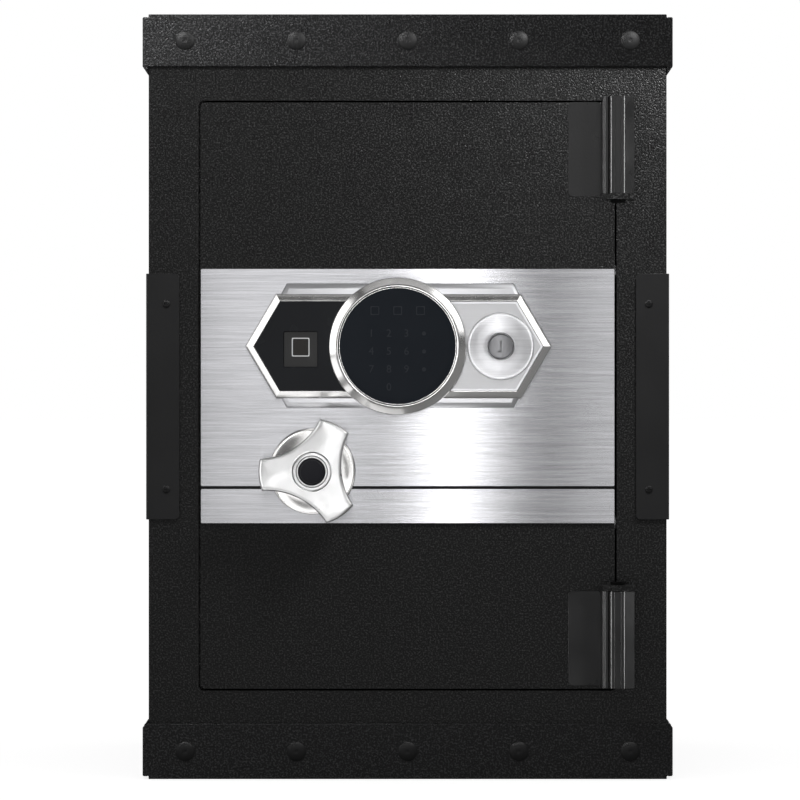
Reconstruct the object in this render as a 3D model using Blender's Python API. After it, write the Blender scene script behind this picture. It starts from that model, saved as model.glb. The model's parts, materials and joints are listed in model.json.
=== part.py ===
"""A compact gun safe with a fingerprint and keypad lock, in metres, +Z up, front towards -Y.

The origin is at the middle of the footprint. Each sub-part is one named object. Pieces that
move hang from an empty on their joint's axis: door_axis, knob_axis, carriage_axis, key_axis,
plunger_axis, reset_axis and lid_axis. The door is shut and its bolts are drawn back.
"""

import math

import bmesh
import bpy

# Whole safe
WIDTH = 0.416            # across the side bands
HEIGHT = 0.600
DEPTH = 0.380            # front of the bands to the back wall
BODY_HALF = 0.2033       # half the width of the sheet steel body
BAND_PROUD = 0.003       # bands in front of the body's face
KNOB_PROUD = 0.040       # knob in front of the body's face
GAP = 0.0003             # between pieces that touch

BAND_Y = -(DEPTH - (KNOB_PROUD - BAND_PROUD)) / 2
FACE_Y = BAND_Y + BAND_PROUD
BACK_Y = BAND_Y + DEPTH

# Body
WALL = 0.004
FRAME_THICK = 0.008
OPEN_HALF = 0.1641       # half the width of the doorway
OPEN_LOW = 0.0692
OPEN_HIGH = 0.5325
OPEN_RADIUS = 0.004

# Bands and brackets
TOP_BAND_LOW = 0.5591
BOTTOM_BAND_HIGH = 0.0433
BAND_LIP = 0.0067        # height of the slanted edge on the sides
BAND_NOTCH = 0.0022      # side bands stop short of the top and bottom
RIVET_STEP = 0.0873
RIVET_RADIUS = 0.0078
BRACKET_LOW = 0.2036
BRACKET_HIGH = 0.3966
BRACKET_INNER = 0.1792
BRACKET_THICK = 0.0017
BRACKET_RETURN = 0.026

# Door
DOOR_GAP = 0.0015
DOOR_THICK = 0.008
DOOR_HALF = OPEN_HALF - DOOR_GAP
DOOR_LOW = OPEN_LOW + DOOR_GAP
DOOR_HIGH = OPEN_HIGH - DOOR_GAP
PANEL_HALF = 0.1622
PANEL_LOW = 0.2008
PANEL_HIGH = 0.4002
PANEL_SPLIT = 0.2287
SPLIT_WIDTH = 0.0024
PANEL_FRONT = 0.0018

# Hinges
HINGE_X = 0.1645
HINGE_OUT = 0.0142       # axis in front of the door's face
BARREL_HALF = 0.0126
BARREL_LENGTH = 0.0756
HINGE_LOWS = {"top": 0.4588, "bottom": 0.0724}
LEAF_X = 0.1261
LEAF_THICK = 0.004
PIN_RADIUS = 0.004
LUG_THICK = 0.0045

# Lock unit
LOCK_X = -0.0078         # centre of the keypad
LOCK_Z = 0.3395
BEZEL_LEFT = (-0.1279, -0.1042)      # tip and corner
BEZEL_RIGHT = (0.1136, 0.0894)
BEZEL_HALF = 0.0408
BEZEL_WIDTH = 0.005
BASE_FRONT = 0.006
BEZEL_FRONT = 0.0125
INLAY_FRONT = 0.011
RING_RADIUS = 0.0536
RING_FRONT = 0.023
GLASS_RADIUS = 0.0454
SENSOR_X = -0.0838
SENSOR_Z = 0.3388
KEY_X = 0.0727
KEY_Z = 0.3393
ROSETTE_RADIUS = 0.0262
PLUG_RADIUS = 0.0098

# Knob and boltwork; depths behind the door's face are negative
KNOB_X = -0.0746
KNOB_Z = 0.2416
KNOB_BASE_RADIUS = 0.0338
KNOB_TIP = 0.0416
KNOB_WAIST = 0.0232
KNOB_TIP_ANGLE = math.radians(17.5)
KNOB_FIRST_SPOKE = math.radians(63.5)
SPINDLE_RADIUS = 0.0048
CRANK = 0.017
CRANK_PIN = 0.003
THROW = CRANK * math.sqrt(2)
CARRIAGE_FRONT = -0.014
CARRIAGE_THICK = 0.003
CARRIAGE_REACH = 0.030      # past the outer bolts
BOLT_RADIUS = 0.010
BOLT_DEPTH = -0.028
BOLT_TIP_X = -0.150
BOLT_HEIGHTS = {"lower": 0.145, "middle": 0.3005, "upper": 0.456}
PLUNGER_X = -0.097
PLUNGER_RADIUS = 0.003
NOTCH_HALF = 0.0038
ARM_TOP = KNOB_Z + 0.0264
TRAY_HALF = 0.146
TRAY_LOW = 0.086
TRAY_HIGH = 0.516
TRAY_WALL = 0.002
TRAY_DEPTH = 0.054
COVER_THICK = 0.0015
FLANGE_X = -TRAY_HALF + TRAY_WALL + THROW + 0.001     # clears the tray's wall at full throw
BATTERY_BOX = (0.030, 0.100, 0.130, 0.200)   # x from, x to, z from, z to

# Inside
ANCHOR_RADIUS = 0.006
ANCHOR_XS = (-0.120, 0.120)
ANCHOR_YS = (-0.070, 0.130)
ANCHOR_HIGH = 0.460      # of the two in the back wall
SHELF_Z = 0.318
SHELF_FRONT = FACE_Y + 0.085


def material(name, colour, roughness, metallic=0.0):
    made = bpy.data.materials.new(name)
    made.use_nodes = True
    shader = made.node_tree.nodes["Principled BSDF"]
    shader.inputs["Base Color"].default_value = (*colour, 1.0)
    shader.inputs["Roughness"].default_value = roughness
    shader.inputs["Metallic"].default_value = metallic
    made.diffuse_color = (*colour, 1.0)
    return made


def add(name, bm, look, smooth=False):
    """Turns a bmesh into a named object with its material."""
    bmesh.ops.recalc_face_normals(bm, faces=bm.faces)
    mesh = bpy.data.meshes.new(name)
    bm.to_mesh(mesh)
    bm.free()
    if smooth:
        mesh.shade_smooth()
        mesh.set_sharp_from_angle(angle=math.radians(35))
    obj = bpy.data.objects.new(name, mesh)
    bpy.context.scene.collection.objects.link(obj)
    if look:
        obj.data.materials.append(look)
    return obj


def on_face(obj, x=0.0, z=0.0):
    """Stands the object on the door's face: local X, Y and Z become right, up and outwards."""
    obj.rotation_euler = (math.pi / 2, 0, 0)
    obj.location = (x, FACE_Y, z)
    return obj


def block(name, x, y, z, look):
    """A box between pairs of coordinates."""
    bm = bmesh.new()
    bmesh.ops.create_cube(bm, size=1.0)
    for vert in bm.verts:
        vert.co.x = x[0] if vert.co.x < 0 else x[1]
        vert.co.y = y[0] if vert.co.y < 0 else y[1]
        vert.co.z = z[0] if vert.co.z < 0 else z[1]
    return add(name, bm, look)


def extruded(outline, low, high):
    """A bmesh of the outline in local XY, extruded from low to high."""
    bm = bmesh.new()
    base = bm.faces.new([bm.verts.new((x, y, low)) for x, y in outline])
    grown = bmesh.ops.extrude_face_region(bm, geom=[base])
    for item in grown["geom"]:
        if isinstance(item, bmesh.types.BMVert):
            item.co.z = high
    return bm


def plate(name, outline, low, high, look, at=(0.0, 0.0), smooth=False):
    """An outline parallel to the door's face, from low to high in front of it."""
    return on_face(add(name, extruded(outline, low, high), look, smooth), *at)


def rounded(x, y, radius, steps=4):
    """Outline of a rectangle with rounded corners."""
    corners = (
        (x[1] - radius, y[1] - radius, 0),
        (x[0] + radius, y[1] - radius, 90),
        (x[0] + radius, y[0] + radius, 180),
        (x[1] - radius, y[0] + radius, 270),
    )
    points = []
    for centre_x, centre_y, start in corners:
        for step in range(steps + 1):
            angle = math.radians(start + 90 * step / steps)
            points.append((centre_x + radius * math.cos(angle), centre_y + radius * math.sin(angle)))
    return points


def turned(profile, segments):
    """A bmesh turned about local Z from (radius, height) points; radius 0 closes an end."""
    bm = bmesh.new()
    rings = []
    for radius, height in profile:
        if radius == 0:
            rings.append([bm.verts.new((0, 0, height))])
            continue
        angles = [2 * math.pi * (k + 0.5) / segments for k in range(segments)]
        rings.append([bm.verts.new((radius * math.cos(a), radius * math.sin(a), height)) for a in angles])
    pairs = list(zip(rings, rings[1:]))
    if profile[0][0] and profile[-1][0]:
        pairs.append((rings[-1], rings[0]))
    for first, second in pairs:
        for k in range(segments):
            after = (k + 1) % segments
            corners = [first[k % len(first)], first[after % len(first)]]
            corners += [second[after % len(second)], second[k % len(second)]]
            bm.faces.new(list(dict.fromkeys(corners)))
    return bm


def round_piece(name, profile, look, at, segments=32):
    """A turned piece that points out of the door's face."""
    return on_face(add(name, turned(profile, segments), look, True), *at)


def rod(name, radius, start, end, look, chamfer=0.0, segments=24):
    """A round bar between two points on one axis, X or Z, with its ends chamfered."""
    length = sum(abs(b - a) for a, b in zip(start, end))
    profile = [(0, 0), (radius - chamfer, 0), (radius, chamfer)]
    profile += [(radius, length - chamfer), (radius - chamfer, length), (0, length)]
    if not chamfer:
        profile = [(0, 0), (radius, 0), (radius, length), (0, length)]
    obj = add(name, turned(profile, segments), look, True)
    obj.location = start
    if end[0] != start[0]:
        obj.rotation_euler = (0, math.copysign(math.pi / 2, end[0] - start[0]), 0)
    return obj


def combine(obj, other, operation):
    """Joins or cuts with a helper that the model itself leaves out."""
    other.hide_render = True
    other.display_type = "WIRE"
    step = obj.modifiers.new(other.name, "BOOLEAN")
    step.operation = operation
    step.object = other
    step.solver = "EXACT"


def drill(obj, radius, at, low=-0.060, high=0.060, segments=24):
    """A round hole through pieces that lie parallel to the door's face."""
    profile = [(0, low), (radius, low), (radius, high), (0, high)]
    tool = add(f"{obj.name}_drill", turned(profile, segments), None)
    combine(obj, on_face(tool, *at), "DIFFERENCE")


def bevel(obj, width, segments=1):
    edge = obj.modifiers.new("edge", "BEVEL")
    edge.width = width
    edge.segments = segments
    edge.limit_method = "ANGLE"
    edge.angle_limit = math.radians(35)


def pivot(name, location, parent=None):
    """An empty on a joint's axis."""
    empty = bpy.data.objects.new(name, None)
    empty.empty_display_size = 0.02
    empty.location = location
    bpy.context.scene.collection.objects.link(empty)
    if parent:
        hang(parent, empty)
    return empty


def hang(parent, *pieces):
    """Parents pieces and leaves them where they are."""
    bpy.context.view_layer.update()
    for piece in pieces:
        piece.parent = parent
        piece.matrix_parent_inverse = parent.matrix_world.inverted()


def hexagon(left, right, half, inset=0.0, centre=0.0):
    """A long hexagon with a tip at each end, drawn in by inset."""
    rise = half - inset
    points = []
    for tip, corner in (right, left):
        slope = math.hypot(tip - corner, half)
        shift = inset * slope / half
        end = tip - math.copysign(shift, tip)
        side = end - (tip - corner) * rise / half
        points.append((end, side))
    (right_tip, right_side), (left_tip, left_side) = points
    return [
        (right_tip, centre),
        (right_side, centre + rise),
        (left_side, centre + rise),
        (left_tip, centre),
        (left_side, centre - rise),
        (right_side, centre - rise),
    ]


def make_walls(paint):
    """Side walls, roof, floor and back of the body, behind the front frame."""
    front = FACE_Y + FRAME_THICK + GAP
    inner = BODY_HALF - WALL
    high = HEIGHT - WALL
    for side, sign in (("left", -1), ("right", 1)):
        xs = sorted((sign * inner, sign * BODY_HALF))
        block(f"side_wall_{side}", xs, (front, BACK_Y), (WALL + GAP, high - GAP), paint)
    block("roof_plate", (-BODY_HALF, BODY_HALF), (front, BACK_Y), (high, HEIGHT), paint)
    floor = block("floor_plate", (-BODY_HALF, BODY_HALF), (front, BACK_Y), (0, WALL), paint)
    across = (-inner + GAP, inner - GAP)
    back = block("back_wall", across, (BACK_Y - WALL, BACK_Y), (WALL + GAP, high - GAP), paint)
    floor_anchor_holes(floor)
    for x in ANCHOR_XS:
        tool = anchor_tool()
        tool.rotation_euler = (math.pi / 2, 0, 0)
        tool.location = (x, BACK_Y, ANCHOR_HIGH)
        combine(back, tool, "DIFFERENCE")


def anchor_tool():
    profile = [(0, -0.02), (ANCHOR_RADIUS, -0.02), (ANCHOR_RADIUS, 0.02), (0, 0.02)]
    return add("anchor_hole", turned(profile, 16), None)


def floor_anchor_holes(piece):
    """Four holes that bolts pass through to hold the safe to a floor."""
    for x in ANCHOR_XS:
        for y in ANCHOR_YS:
            tool = anchor_tool()
            tool.location = (x, y, 0)
            combine(piece, tool, "DIFFERENCE")


def make_front_frame(paint):
    outline = [(-BODY_HALF, 0), (BODY_HALF, 0), (BODY_HALF, HEIGHT), (-BODY_HALF, HEIGHT)]
    frame = plate("front_frame", outline, -FRAME_THICK, 0, paint)
    doorway = rounded((-OPEN_HALF, OPEN_HALF), (OPEN_LOW, OPEN_HIGH), OPEN_RADIUS)
    combine(frame, plate("doorway", doorway, -0.02, 0.02, None), "DIFFERENCE")


def make_band(level, low, high, lip_up, paint):
    """A front plate with five rivets, and a side plate on each flank with one slanted edge."""
    front = plate(
        f"{level}_band_front",
        [(-BODY_HALF, low), (BODY_HALF, low), (BODY_HALF, high), (-BODY_HALF, high)],
        GAP, BAND_PROUD, paint,
    )
    dome = [(0, 0.0010), (RIVET_RADIUS, 0.0010), (RIVET_RADIUS, BAND_PROUD + 0.0008)]
    dome += [(RIVET_RADIUS * 0.8, BAND_PROUD + 0.0022), (RIVET_RADIUS * 0.45, BAND_PROUD + 0.0028)]
    dome += [(0.0012, BAND_PROUD + 0.0029), (0, BAND_PROUD + 0.0022)]
    for step in range(-2, 3):
        rivet = add(f"{level}_rivet", turned(dome, 16), None)
        combine(front, on_face(rivet, step * RIVET_STEP, (low + high) / 2), "UNION")
    if lip_up:
        near, outer_edge, far = low - BAND_LIP, low, high - BAND_NOTCH
    else:
        near, outer_edge, far = high + BAND_LIP - 0.003, high - 0.003, low + BAND_NOTCH
    inner_x = BODY_HALF + GAP
    for side, sign in (("left", -1), ("right", 1)):
        section = [(sign * inner_x, near), (sign * WIDTH / 2, outer_edge)]
        section += [(sign * WIDTH / 2, far), (sign * inner_x, far)]
        plank = plate(f"{level}_band_{side}", section, -(DEPTH - BAND_PROUD), BAND_PROUD, paint)
        bevel(plank, 0.0008)


def make_bracket(side, sign, paint):
    """An angle plate folded round a front upright edge of the body."""
    outer = BODY_HALF + GAP + BRACKET_THICK
    front = rounded(sorted((sign * BRACKET_INNER, sign * outer)), (BRACKET_LOW, BRACKET_HIGH), 0.0035)
    square = 0.006
    edge_x = sign * outer
    outline = [p for p in front if abs(p[0]) < abs(edge_x) - square]
    low, high = (edge_x, BRACKET_LOW), (edge_x, BRACKET_HIGH)
    outline = sorted(outline + [low, high], key=lambda p: bracket_angle(p, sign))
    flange = plate(f"bracket_{side}", outline, GAP, GAP + BRACKET_THICK, paint)
    returned = block(
        f"bracket_return_{side}",
        sorted((sign * (BODY_HALF + GAP), edge_x)),
        (FACE_Y - GAP - BRACKET_THICK, FACE_Y + BRACKET_RETURN),
        (BRACKET_LOW, BRACKET_HIGH),
        None,
    )
    combine(flange, returned, "UNION")
    for z in (0.2272, 0.3728):
        dimple = [(0, 0.0011), (0.0018, 0.0011), (0.0032, 0.0040), (0, 0.0040)]
        tool = add(f"bracket_dimple_{side}", turned(dimple, 16), None)
        combine(flange, on_face(tool, sign * 0.1893, z), "DIFFERENCE")


def bracket_angle(point, sign):
    """Angle round the bracket's middle, to order its outline."""
    middle = (sign * (BRACKET_INNER + BODY_HALF) / 2, (BRACKET_LOW + BRACKET_HIGH) / 2)
    return math.atan2(point[1] - middle[1], point[0] - middle[0])


def make_door_stop(paint):
    """A strip behind the latch jamb that the shut door rests on."""
    strip = [(-OPEN_HALF - 0.010, OPEN_LOW), (-OPEN_HALF + 0.0055, OPEN_LOW)]
    strip += [(-OPEN_HALF + 0.0055, OPEN_HIGH), (-OPEN_HALF - 0.010, OPEN_HIGH)]
    plate("door_stop", strip, -FRAME_THICK - GAP - 0.004, -FRAME_THICK - GAP, paint)


def make_interior(paint, felt):
    """Shelf on two angle rails, and the mat on the floor."""
    inner = BODY_HALF - WALL - GAP
    back = BACK_Y - WALL - GAP
    across = (-inner + 0.002, inner - 0.002)
    shelf = block("shelf", across, (SHELF_FRONT, back), (SHELF_Z, SHELF_Z + 0.002), paint)
    lip_y = (SHELF_FRONT, SHELF_FRONT + 0.002)
    lip = block("shelf_lip", across, lip_y, (SHELF_Z - 0.014, SHELF_Z + 0.001), None)
    combine(shelf, lip, "UNION")
    for side, sign in (("left", -1), ("right", 1)):
        top = SHELF_Z - GAP
        corners = [(inner, 0), (inner - 0.018, 0), (inner - 0.018, 0.002)]
        corners += [(inner - 0.002, 0.002), (inner - 0.002, 0.016), (inner, 0.016)]
        section = [(sign * x, top - drop) for x, drop in corners]
        far = -(SHELF_FRONT - FACE_Y) - 0.010
        plate(f"shelf_rail_{side}", section, far - 0.240, far, paint)
    mat = block("floor_mat", (-inner, inner), (FACE_Y + 0.013, back), (WALL + GAP, WALL + 0.003), felt)
    floor_anchor_holes(mat)


def octagon(half):
    reach = half / math.cos(math.pi / 8)
    angles = [math.pi / 8 + k * math.pi / 4 for k in range(8)]
    return [(reach * math.cos(a), reach * math.sin(a)) for a in angles]


def bore(obj, radius, low, high):
    """An upright hole on the hinge axis."""
    tool = rod(f"{obj.name}_bore", radius, (0, 0, low), (0, 0, high), None)
    tool.location = (HINGE_X, FACE_Y - HINGE_OUT, low)
    combine(obj, tool, "DIFFERENCE")


def make_hinge(level, paint, steel, door_axis):
    """Leaf and barrel on the door, lug on the body, and the pin that the lug holds."""
    low = HINGE_LOWS[level]
    high = low + BARREL_LENGTH
    top = level == "top"
    leaf_low = low - 0.0016 if top else low + 0.0012
    outline = rounded((LEAF_X, HINGE_X - BARREL_HALF - 0.0002), (leaf_low, leaf_low + 0.0738), 0.003)
    leaf = plate(f"hinge_leaf_{level}", outline, GAP, GAP + LEAF_THICK, paint)
    web = [(LEAF_X + 0.015, low + 0.001), (DOOR_HALF - 0.0005, low + 0.001)]
    web += [(DOOR_HALF - 0.0005, high - 0.005), (LEAF_X + 0.015, high - 0.005)]
    combine(leaf, plate(f"hinge_web_{level}", web, GAP, LEAF_THICK, None), "UNION")
    barrel = add(f"hinge_barrel_{level}", extruded(octagon(BARREL_HALF), 0, BARREL_LENGTH), None)
    barrel.location = (HINGE_X, FACE_Y - HINGE_OUT, low)
    combine(leaf, barrel, "UNION")
    bore(leaf, PIN_RADIUS + GAP, low - 0.01, high + 0.01)
    hang(door_axis, leaf)
    lug_low = low - GAP - LUG_THICK if top else high + GAP
    make_lug(level, lug_low, paint)
    head_thick, head_radius = 0.002, 0.006
    if top:
        head_low = lug_low - GAP - head_thick
        neck, end = head_low + head_thick, high - head_thick
        shank = [(0, head_low), (head_radius, head_low), (head_radius, neck)]
        shank += [(PIN_RADIUS, neck), (PIN_RADIUS, end), (0, end)]
    else:
        neck, end = lug_low + LUG_THICK + GAP, low + head_thick
        shank = [(0, end), (PIN_RADIUS, end), (PIN_RADIUS, neck)]
        shank += [(head_radius, neck), (head_radius, neck + head_thick), (0, neck + head_thick)]
    pin = add(f"hinge_pin_{level}", turned(shank, 24), steel, True)
    pin.location = (HINGE_X, FACE_Y - HINGE_OUT, 0)


def make_lug(level, low, paint):
    """A plate that stands out of the jamb and carries the pin."""
    half, reach = BARREL_HALF, HINGE_OUT - GAP
    cut = half * math.tan(math.pi / 8)
    outline = [(-cut, -half), (cut, -half), (half, -cut), (half, reach), (0.0005, reach)]
    outline += [(-cut, half), (-half, cut), (-half, -cut)]
    lug = add(f"hinge_lug_{level}", extruded(outline, 0, LUG_THICK), paint)
    lug.location = (HINGE_X, FACE_Y - HINGE_OUT, low)
    bore(lug, PIN_RADIUS + GAP, low - 0.01, low + 0.02)


def make_door_skin(paint, stainless, door_axis):
    """The thick door plate and the two brushed plates on its face."""
    outline = rounded((-DOOR_HALF, DOOR_HALF), (DOOR_LOW, DOOR_HIGH), OPEN_RADIUS)
    door = plate("door_plate", outline, -DOOR_THICK, 0, paint)
    upper = rounded((-PANEL_HALF, PANEL_HALF), (PANEL_SPLIT + SPLIT_WIDTH / 2, PANEL_HIGH), 0.0006, 1)
    lower = rounded((-PANEL_HALF, PANEL_HALF), (PANEL_LOW, PANEL_SPLIT - SPLIT_WIDTH / 2), 0.0006, 1)
    panel = plate("panel_upper", upper, GAP, PANEL_FRONT, stainless)
    low_panel = plate("panel_lower", lower, GAP, PANEL_FRONT, stainless)
    for piece in (door, panel):
        drill(piece, SPINDLE_RADIUS + 0.0006, (KNOB_X, KNOB_Z))
        drill(piece, 0.007, (KEY_X, KEY_Z))
        drill(piece, 0.008, (LOCK_X, LOCK_Z))
    hang(door_axis, door, panel, low_panel)


def make_lock_unit(looks, door_axis):
    """Slab, hexagonal bezel, black and silver inlays, keypad ring and glass."""
    slab = hexagon((-0.122, -0.0948), (0.108, 0.0834), 0.0488, centre=LOCK_Z + 0.0006)
    base = plate("lock_base", slab, PANEL_FRONT + GAP, BASE_FRONT, looks["silver"])
    bevel(base, 0.0015)
    drill(base, 0.007, (KEY_X, KEY_Z))
    drill(base, 0.008, (LOCK_X, LOCK_Z))
    bezel = plate("lock_bezel", hexagon(BEZEL_LEFT, BEZEL_RIGHT, BEZEL_HALF, centre=LOCK_Z),
                  BASE_FRONT + GAP, BEZEL_FRONT, looks["chrome"])
    bevel(bezel, 0.0015)
    hole = hexagon(BEZEL_LEFT, BEZEL_RIGHT, BEZEL_HALF, BEZEL_WIDTH, LOCK_Z)
    combine(bezel, plate("bezel_hole", hole, 0, 0.03, None), "DIFFERENCE")
    drill(bezel, RING_RADIUS + GAP, (LOCK_X, LOCK_Z), 0.0080, 0.03, 64)
    inlay = hexagon(BEZEL_LEFT, BEZEL_RIGHT, BEZEL_HALF, BEZEL_WIDTH + GAP, LOCK_Z)
    pieces = [base, bezel]
    for name, look, sign in (("sensor_panel", "black", -1), ("key_panel", "silver", 1)):
        half = [p for p in inlay if p[0] * sign > 0]
        rise = max(p[1] for p in half)
        cut_x = LOCK_X + sign * 0.020
        half = [p for p in half if p[1] <= rise] + [(cut_x, rise), (cut_x, 2 * LOCK_Z - rise)]
        middle = sum(p[0] for p in half) / len(half)
        half.sort(key=lambda p: math.atan2(p[1] - LOCK_Z, p[0] - middle))
        piece = plate(name, half, BASE_FRONT + GAP, INLAY_FRONT, looks[look])
        drill(piece, RING_RADIUS + GAP, (LOCK_X, LOCK_Z), 0, 0.03, 64)
        pieces.append(piece)
    sensor_panel, key_panel = pieces[2:]
    drill(key_panel, PLUG_RADIUS + 0.0006, (KEY_X, KEY_Z))
    floor = 0.0085
    pocket = around_sensor(0.0130, 0.0152, 0.0015)
    combine(sensor_panel, plate("sensor_pocket", pocket, floor, 0.03, None), "DIFFERENCE")
    window = around_sensor(0.0069, 0.0073, 0.0008)
    pieces.append(plate("fingerprint_sensor", window, floor + GAP, 0.0100, looks["sensor"]))
    hang(door_axis, *pieces, *make_keypad(looks))


def around_sensor(half_x, half_z, radius):
    """Outline of a rounded rectangle round the sensor's middle."""
    x = (SENSOR_X - half_x, SENSOR_X + half_x)
    z = (SENSOR_Z - half_z, SENSOR_Z + half_z)
    return rounded(x, z, radius, 2)


def make_keypad(looks):
    """The ring is a dish with a cable hole; the glass lies in it."""
    low = 0.0083
    lip = GLASS_RADIUS + GAP
    dish = [(0.008, low), (RING_RADIUS, low), (RING_RADIUS, 0.0172), (0.0483, 0.0222), (0.0476, RING_FRONT)]
    dish += [(0.0466, RING_FRONT), (lip, 0.0215), (lip, 0.0180), (0.008, 0.0180)]
    ring = round_piece("keypad_ring", dish, looks["chrome"], (LOCK_X, LOCK_Z), 64)
    pane = [(0, 0.0180 + GAP), (GLASS_RADIUS, 0.0180 + GAP), (GLASS_RADIUS, 0.0205)]
    pane += [(GLASS_RADIUS - 0.0006, 0.0211), (0, 0.0211)]
    glass = round_piece("keypad_glass", pane, looks["glass"], (LOCK_X, LOCK_Z), 48)
    return ring, glass


def make_key_lock(looks, door_axis):
    """Domed rosette, turning plug with its tailpiece, and the barrel behind the door."""
    hole = PLUG_RADIUS + 0.0006
    start = INLAY_FRONT + GAP
    dome = [(hole, start), (ROSETTE_RADIUS, start), (ROSETTE_RADIUS, start + 0.002)]
    dome += [(0.0245, start + 0.0036), (0.021, start + 0.0050), (0.016, start + 0.0059)]
    dome += [(0.0112, start + 0.0062), (hole, start + 0.0056)]
    rosette = round_piece("key_rosette", dome, looks["silver"], (KEY_X, KEY_Z), 40)
    barrel = [(0.0066, -0.030), (0.012, -0.030), (0.012, -DOOR_THICK - GAP), (0.0066, -DOOR_THICK - GAP)]
    body = round_piece("key_lock_body", list(reversed(barrel)), looks["brass"], (KEY_X, KEY_Z), 24)
    hang(door_axis, rosette, body)
    key_axis = pivot("key_axis", (KEY_X, FACE_Y, KEY_Z), door_axis)
    core = [(0, -0.031), (0.006, -0.031), (0.006, 0.0075), (PLUG_RADIUS, 0.0075), (PLUG_RADIUS, 0.0138)]
    core += [(PLUG_RADIUS - 0.0006, 0.0144), (0, 0.0144)]
    plug = round_piece("key_plug", core, looks["steel"], (KEY_X, KEY_Z), 32)
    tail = plate("key_tailpiece", rounded((-0.004, 0.004), (-0.020, 0.006), 0.002, 2),
                 -0.034, -0.0305, None, (KEY_X, KEY_Z))
    combine(plug, tail, "UNION")
    slot = rounded((-0.0010, 0.0010), (-0.0045, 0.0045), 0.0004, 1)
    combine(plug, plate("key_slot", slot, 0.0060, 0.02, None, (KEY_X, KEY_Z)), "DIFFERENCE")
    hang(key_axis, plug)


def knob_outline(tip, waist, arc_steps=6, dip_steps=8):
    """Three spokes with arc ends; between them one arc dips to the waist."""
    cos_corner = math.cos(math.pi / 3 - KNOB_TIP_ANGLE)
    far = (tip * tip - waist * waist) / (2 * (tip * cos_corner - waist))
    radius = far - waist
    sweep = math.asin(tip * math.sin(math.pi / 3 - KNOB_TIP_ANGLE) / radius)
    points = []
    for spoke in range(3):
        middle = KNOB_FIRST_SPOKE + spoke * 2 * math.pi / 3
        for step in range(arc_steps + 1):
            angle = middle + KNOB_TIP_ANGLE * (2 * step / arc_steps - 1)
            points.append((tip * math.cos(angle), tip * math.sin(angle)))
        valley = middle + math.pi / 3
        for step in range(1, dip_steps):
            turn = valley + math.pi + sweep * (1 - 2 * step / dip_steps)
            points.append((far * math.cos(valley) + radius * math.cos(turn),
                           far * math.sin(valley) + radius * math.sin(turn)))
    return points


def make_knob(looks, door_axis):
    """Fixed base disc, three-spoke knob with its cap, spindle, and the crank behind the door."""
    at = (KNOB_X, KNOB_Z)
    hole = SPINDLE_RADIUS + 0.0006
    start = PANEL_FRONT + GAP
    disc = [(hole, start), (KNOB_BASE_RADIUS, start), (KNOB_BASE_RADIUS, start + 0.0042)]
    disc += [(KNOB_BASE_RADIUS - 0.0035, start + 0.0070), (hole, start + 0.0070)]
    hang(door_axis, round_piece("knob_base", disc, looks["chrome"], at, 48))
    knob_axis = pivot("knob_axis", (KNOB_X, FACE_Y, KNOB_Z), door_axis)
    low, high = start + 0.0075, KNOB_PROUD - 0.0042
    knob = plate("knob", knob_outline(KNOB_TIP, KNOB_WAIST), low, high, looks["satin"], at)
    bevel(knob, 0.0018, 2)
    drill(knob, SPINDLE_RADIUS + GAP, at, -0.02, high - 0.006)
    drill(knob, 0.0111, at, high - 0.0012, 0.06, 32)
    crown = [(0, high - 0.0012 + GAP), (0.0108, high - 0.0012 + GAP), (0.0108, high + 0.0026)]
    crown += [(0.0092, KNOB_PROUD), (0, KNOB_PROUD)]
    cap = round_piece("knob_cap", crown, looks["black"], at, 32)
    crank_back, crank_front = CARRIAGE_FRONT + 0.0006, -0.0095
    shaft = [(0, crank_front + GAP), (SPINDLE_RADIUS, crank_front + GAP)]
    shaft += [(SPINDLE_RADIUS, high - 0.008), (0, high - 0.008)]
    spindle = round_piece("spindle", shaft, looks["steel"], at, 24)
    cam_radius = CRANK + 0.005
    plate_profile = [(0, crank_back), (cam_radius, crank_back), (cam_radius, crank_front), (0, crank_front)]
    cam = round_piece("drive_cam", plate_profile, looks["steel"], at, 32)
    offset = CRANK / math.sqrt(2)
    pin_profile = [(0, -0.0200), (CRANK_PIN, -0.0200), (CRANK_PIN, -0.0120), (0, -0.0120)]
    pin = round_piece("crank_pin", pin_profile, None, (KNOB_X + offset, KNOB_Z + offset), 16)
    combine(cam, pin, "UNION")
    hang(knob_axis, knob, cap, spindle, cam)


def carriage_outline():
    """Upright strip with three arms; the middle one has the crank slot and the plunger notches."""
    right, tab = FLANGE_X + 0.009, -0.066
    low, high = BOLT_HEIGHTS["lower"] - CARRIAGE_REACH, BOLT_HEIGHTS["upper"] + CARRIAGE_REACH
    points = [(FLANGE_X, low), (tab, low), (tab, low + 0.020), (right, low + 0.020)]
    points += [(right, KNOB_Z + 0.007), (-0.048, KNOB_Z + 0.007), (-0.048, ARM_TOP)]
    for centre in (PLUNGER_X + THROW, PLUNGER_X):
        points += [(centre + NOTCH_HALF, ARM_TOP), (centre + NOTCH_HALF, ARM_TOP - 0.007)]
        points += [(centre - NOTCH_HALF, ARM_TOP - 0.007), (centre - NOTCH_HALF, ARM_TOP)]
    points += [(right, ARM_TOP), (right, high - 0.020), (tab, high - 0.020), (tab, high), (FLANGE_X, high)]
    return points


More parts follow.
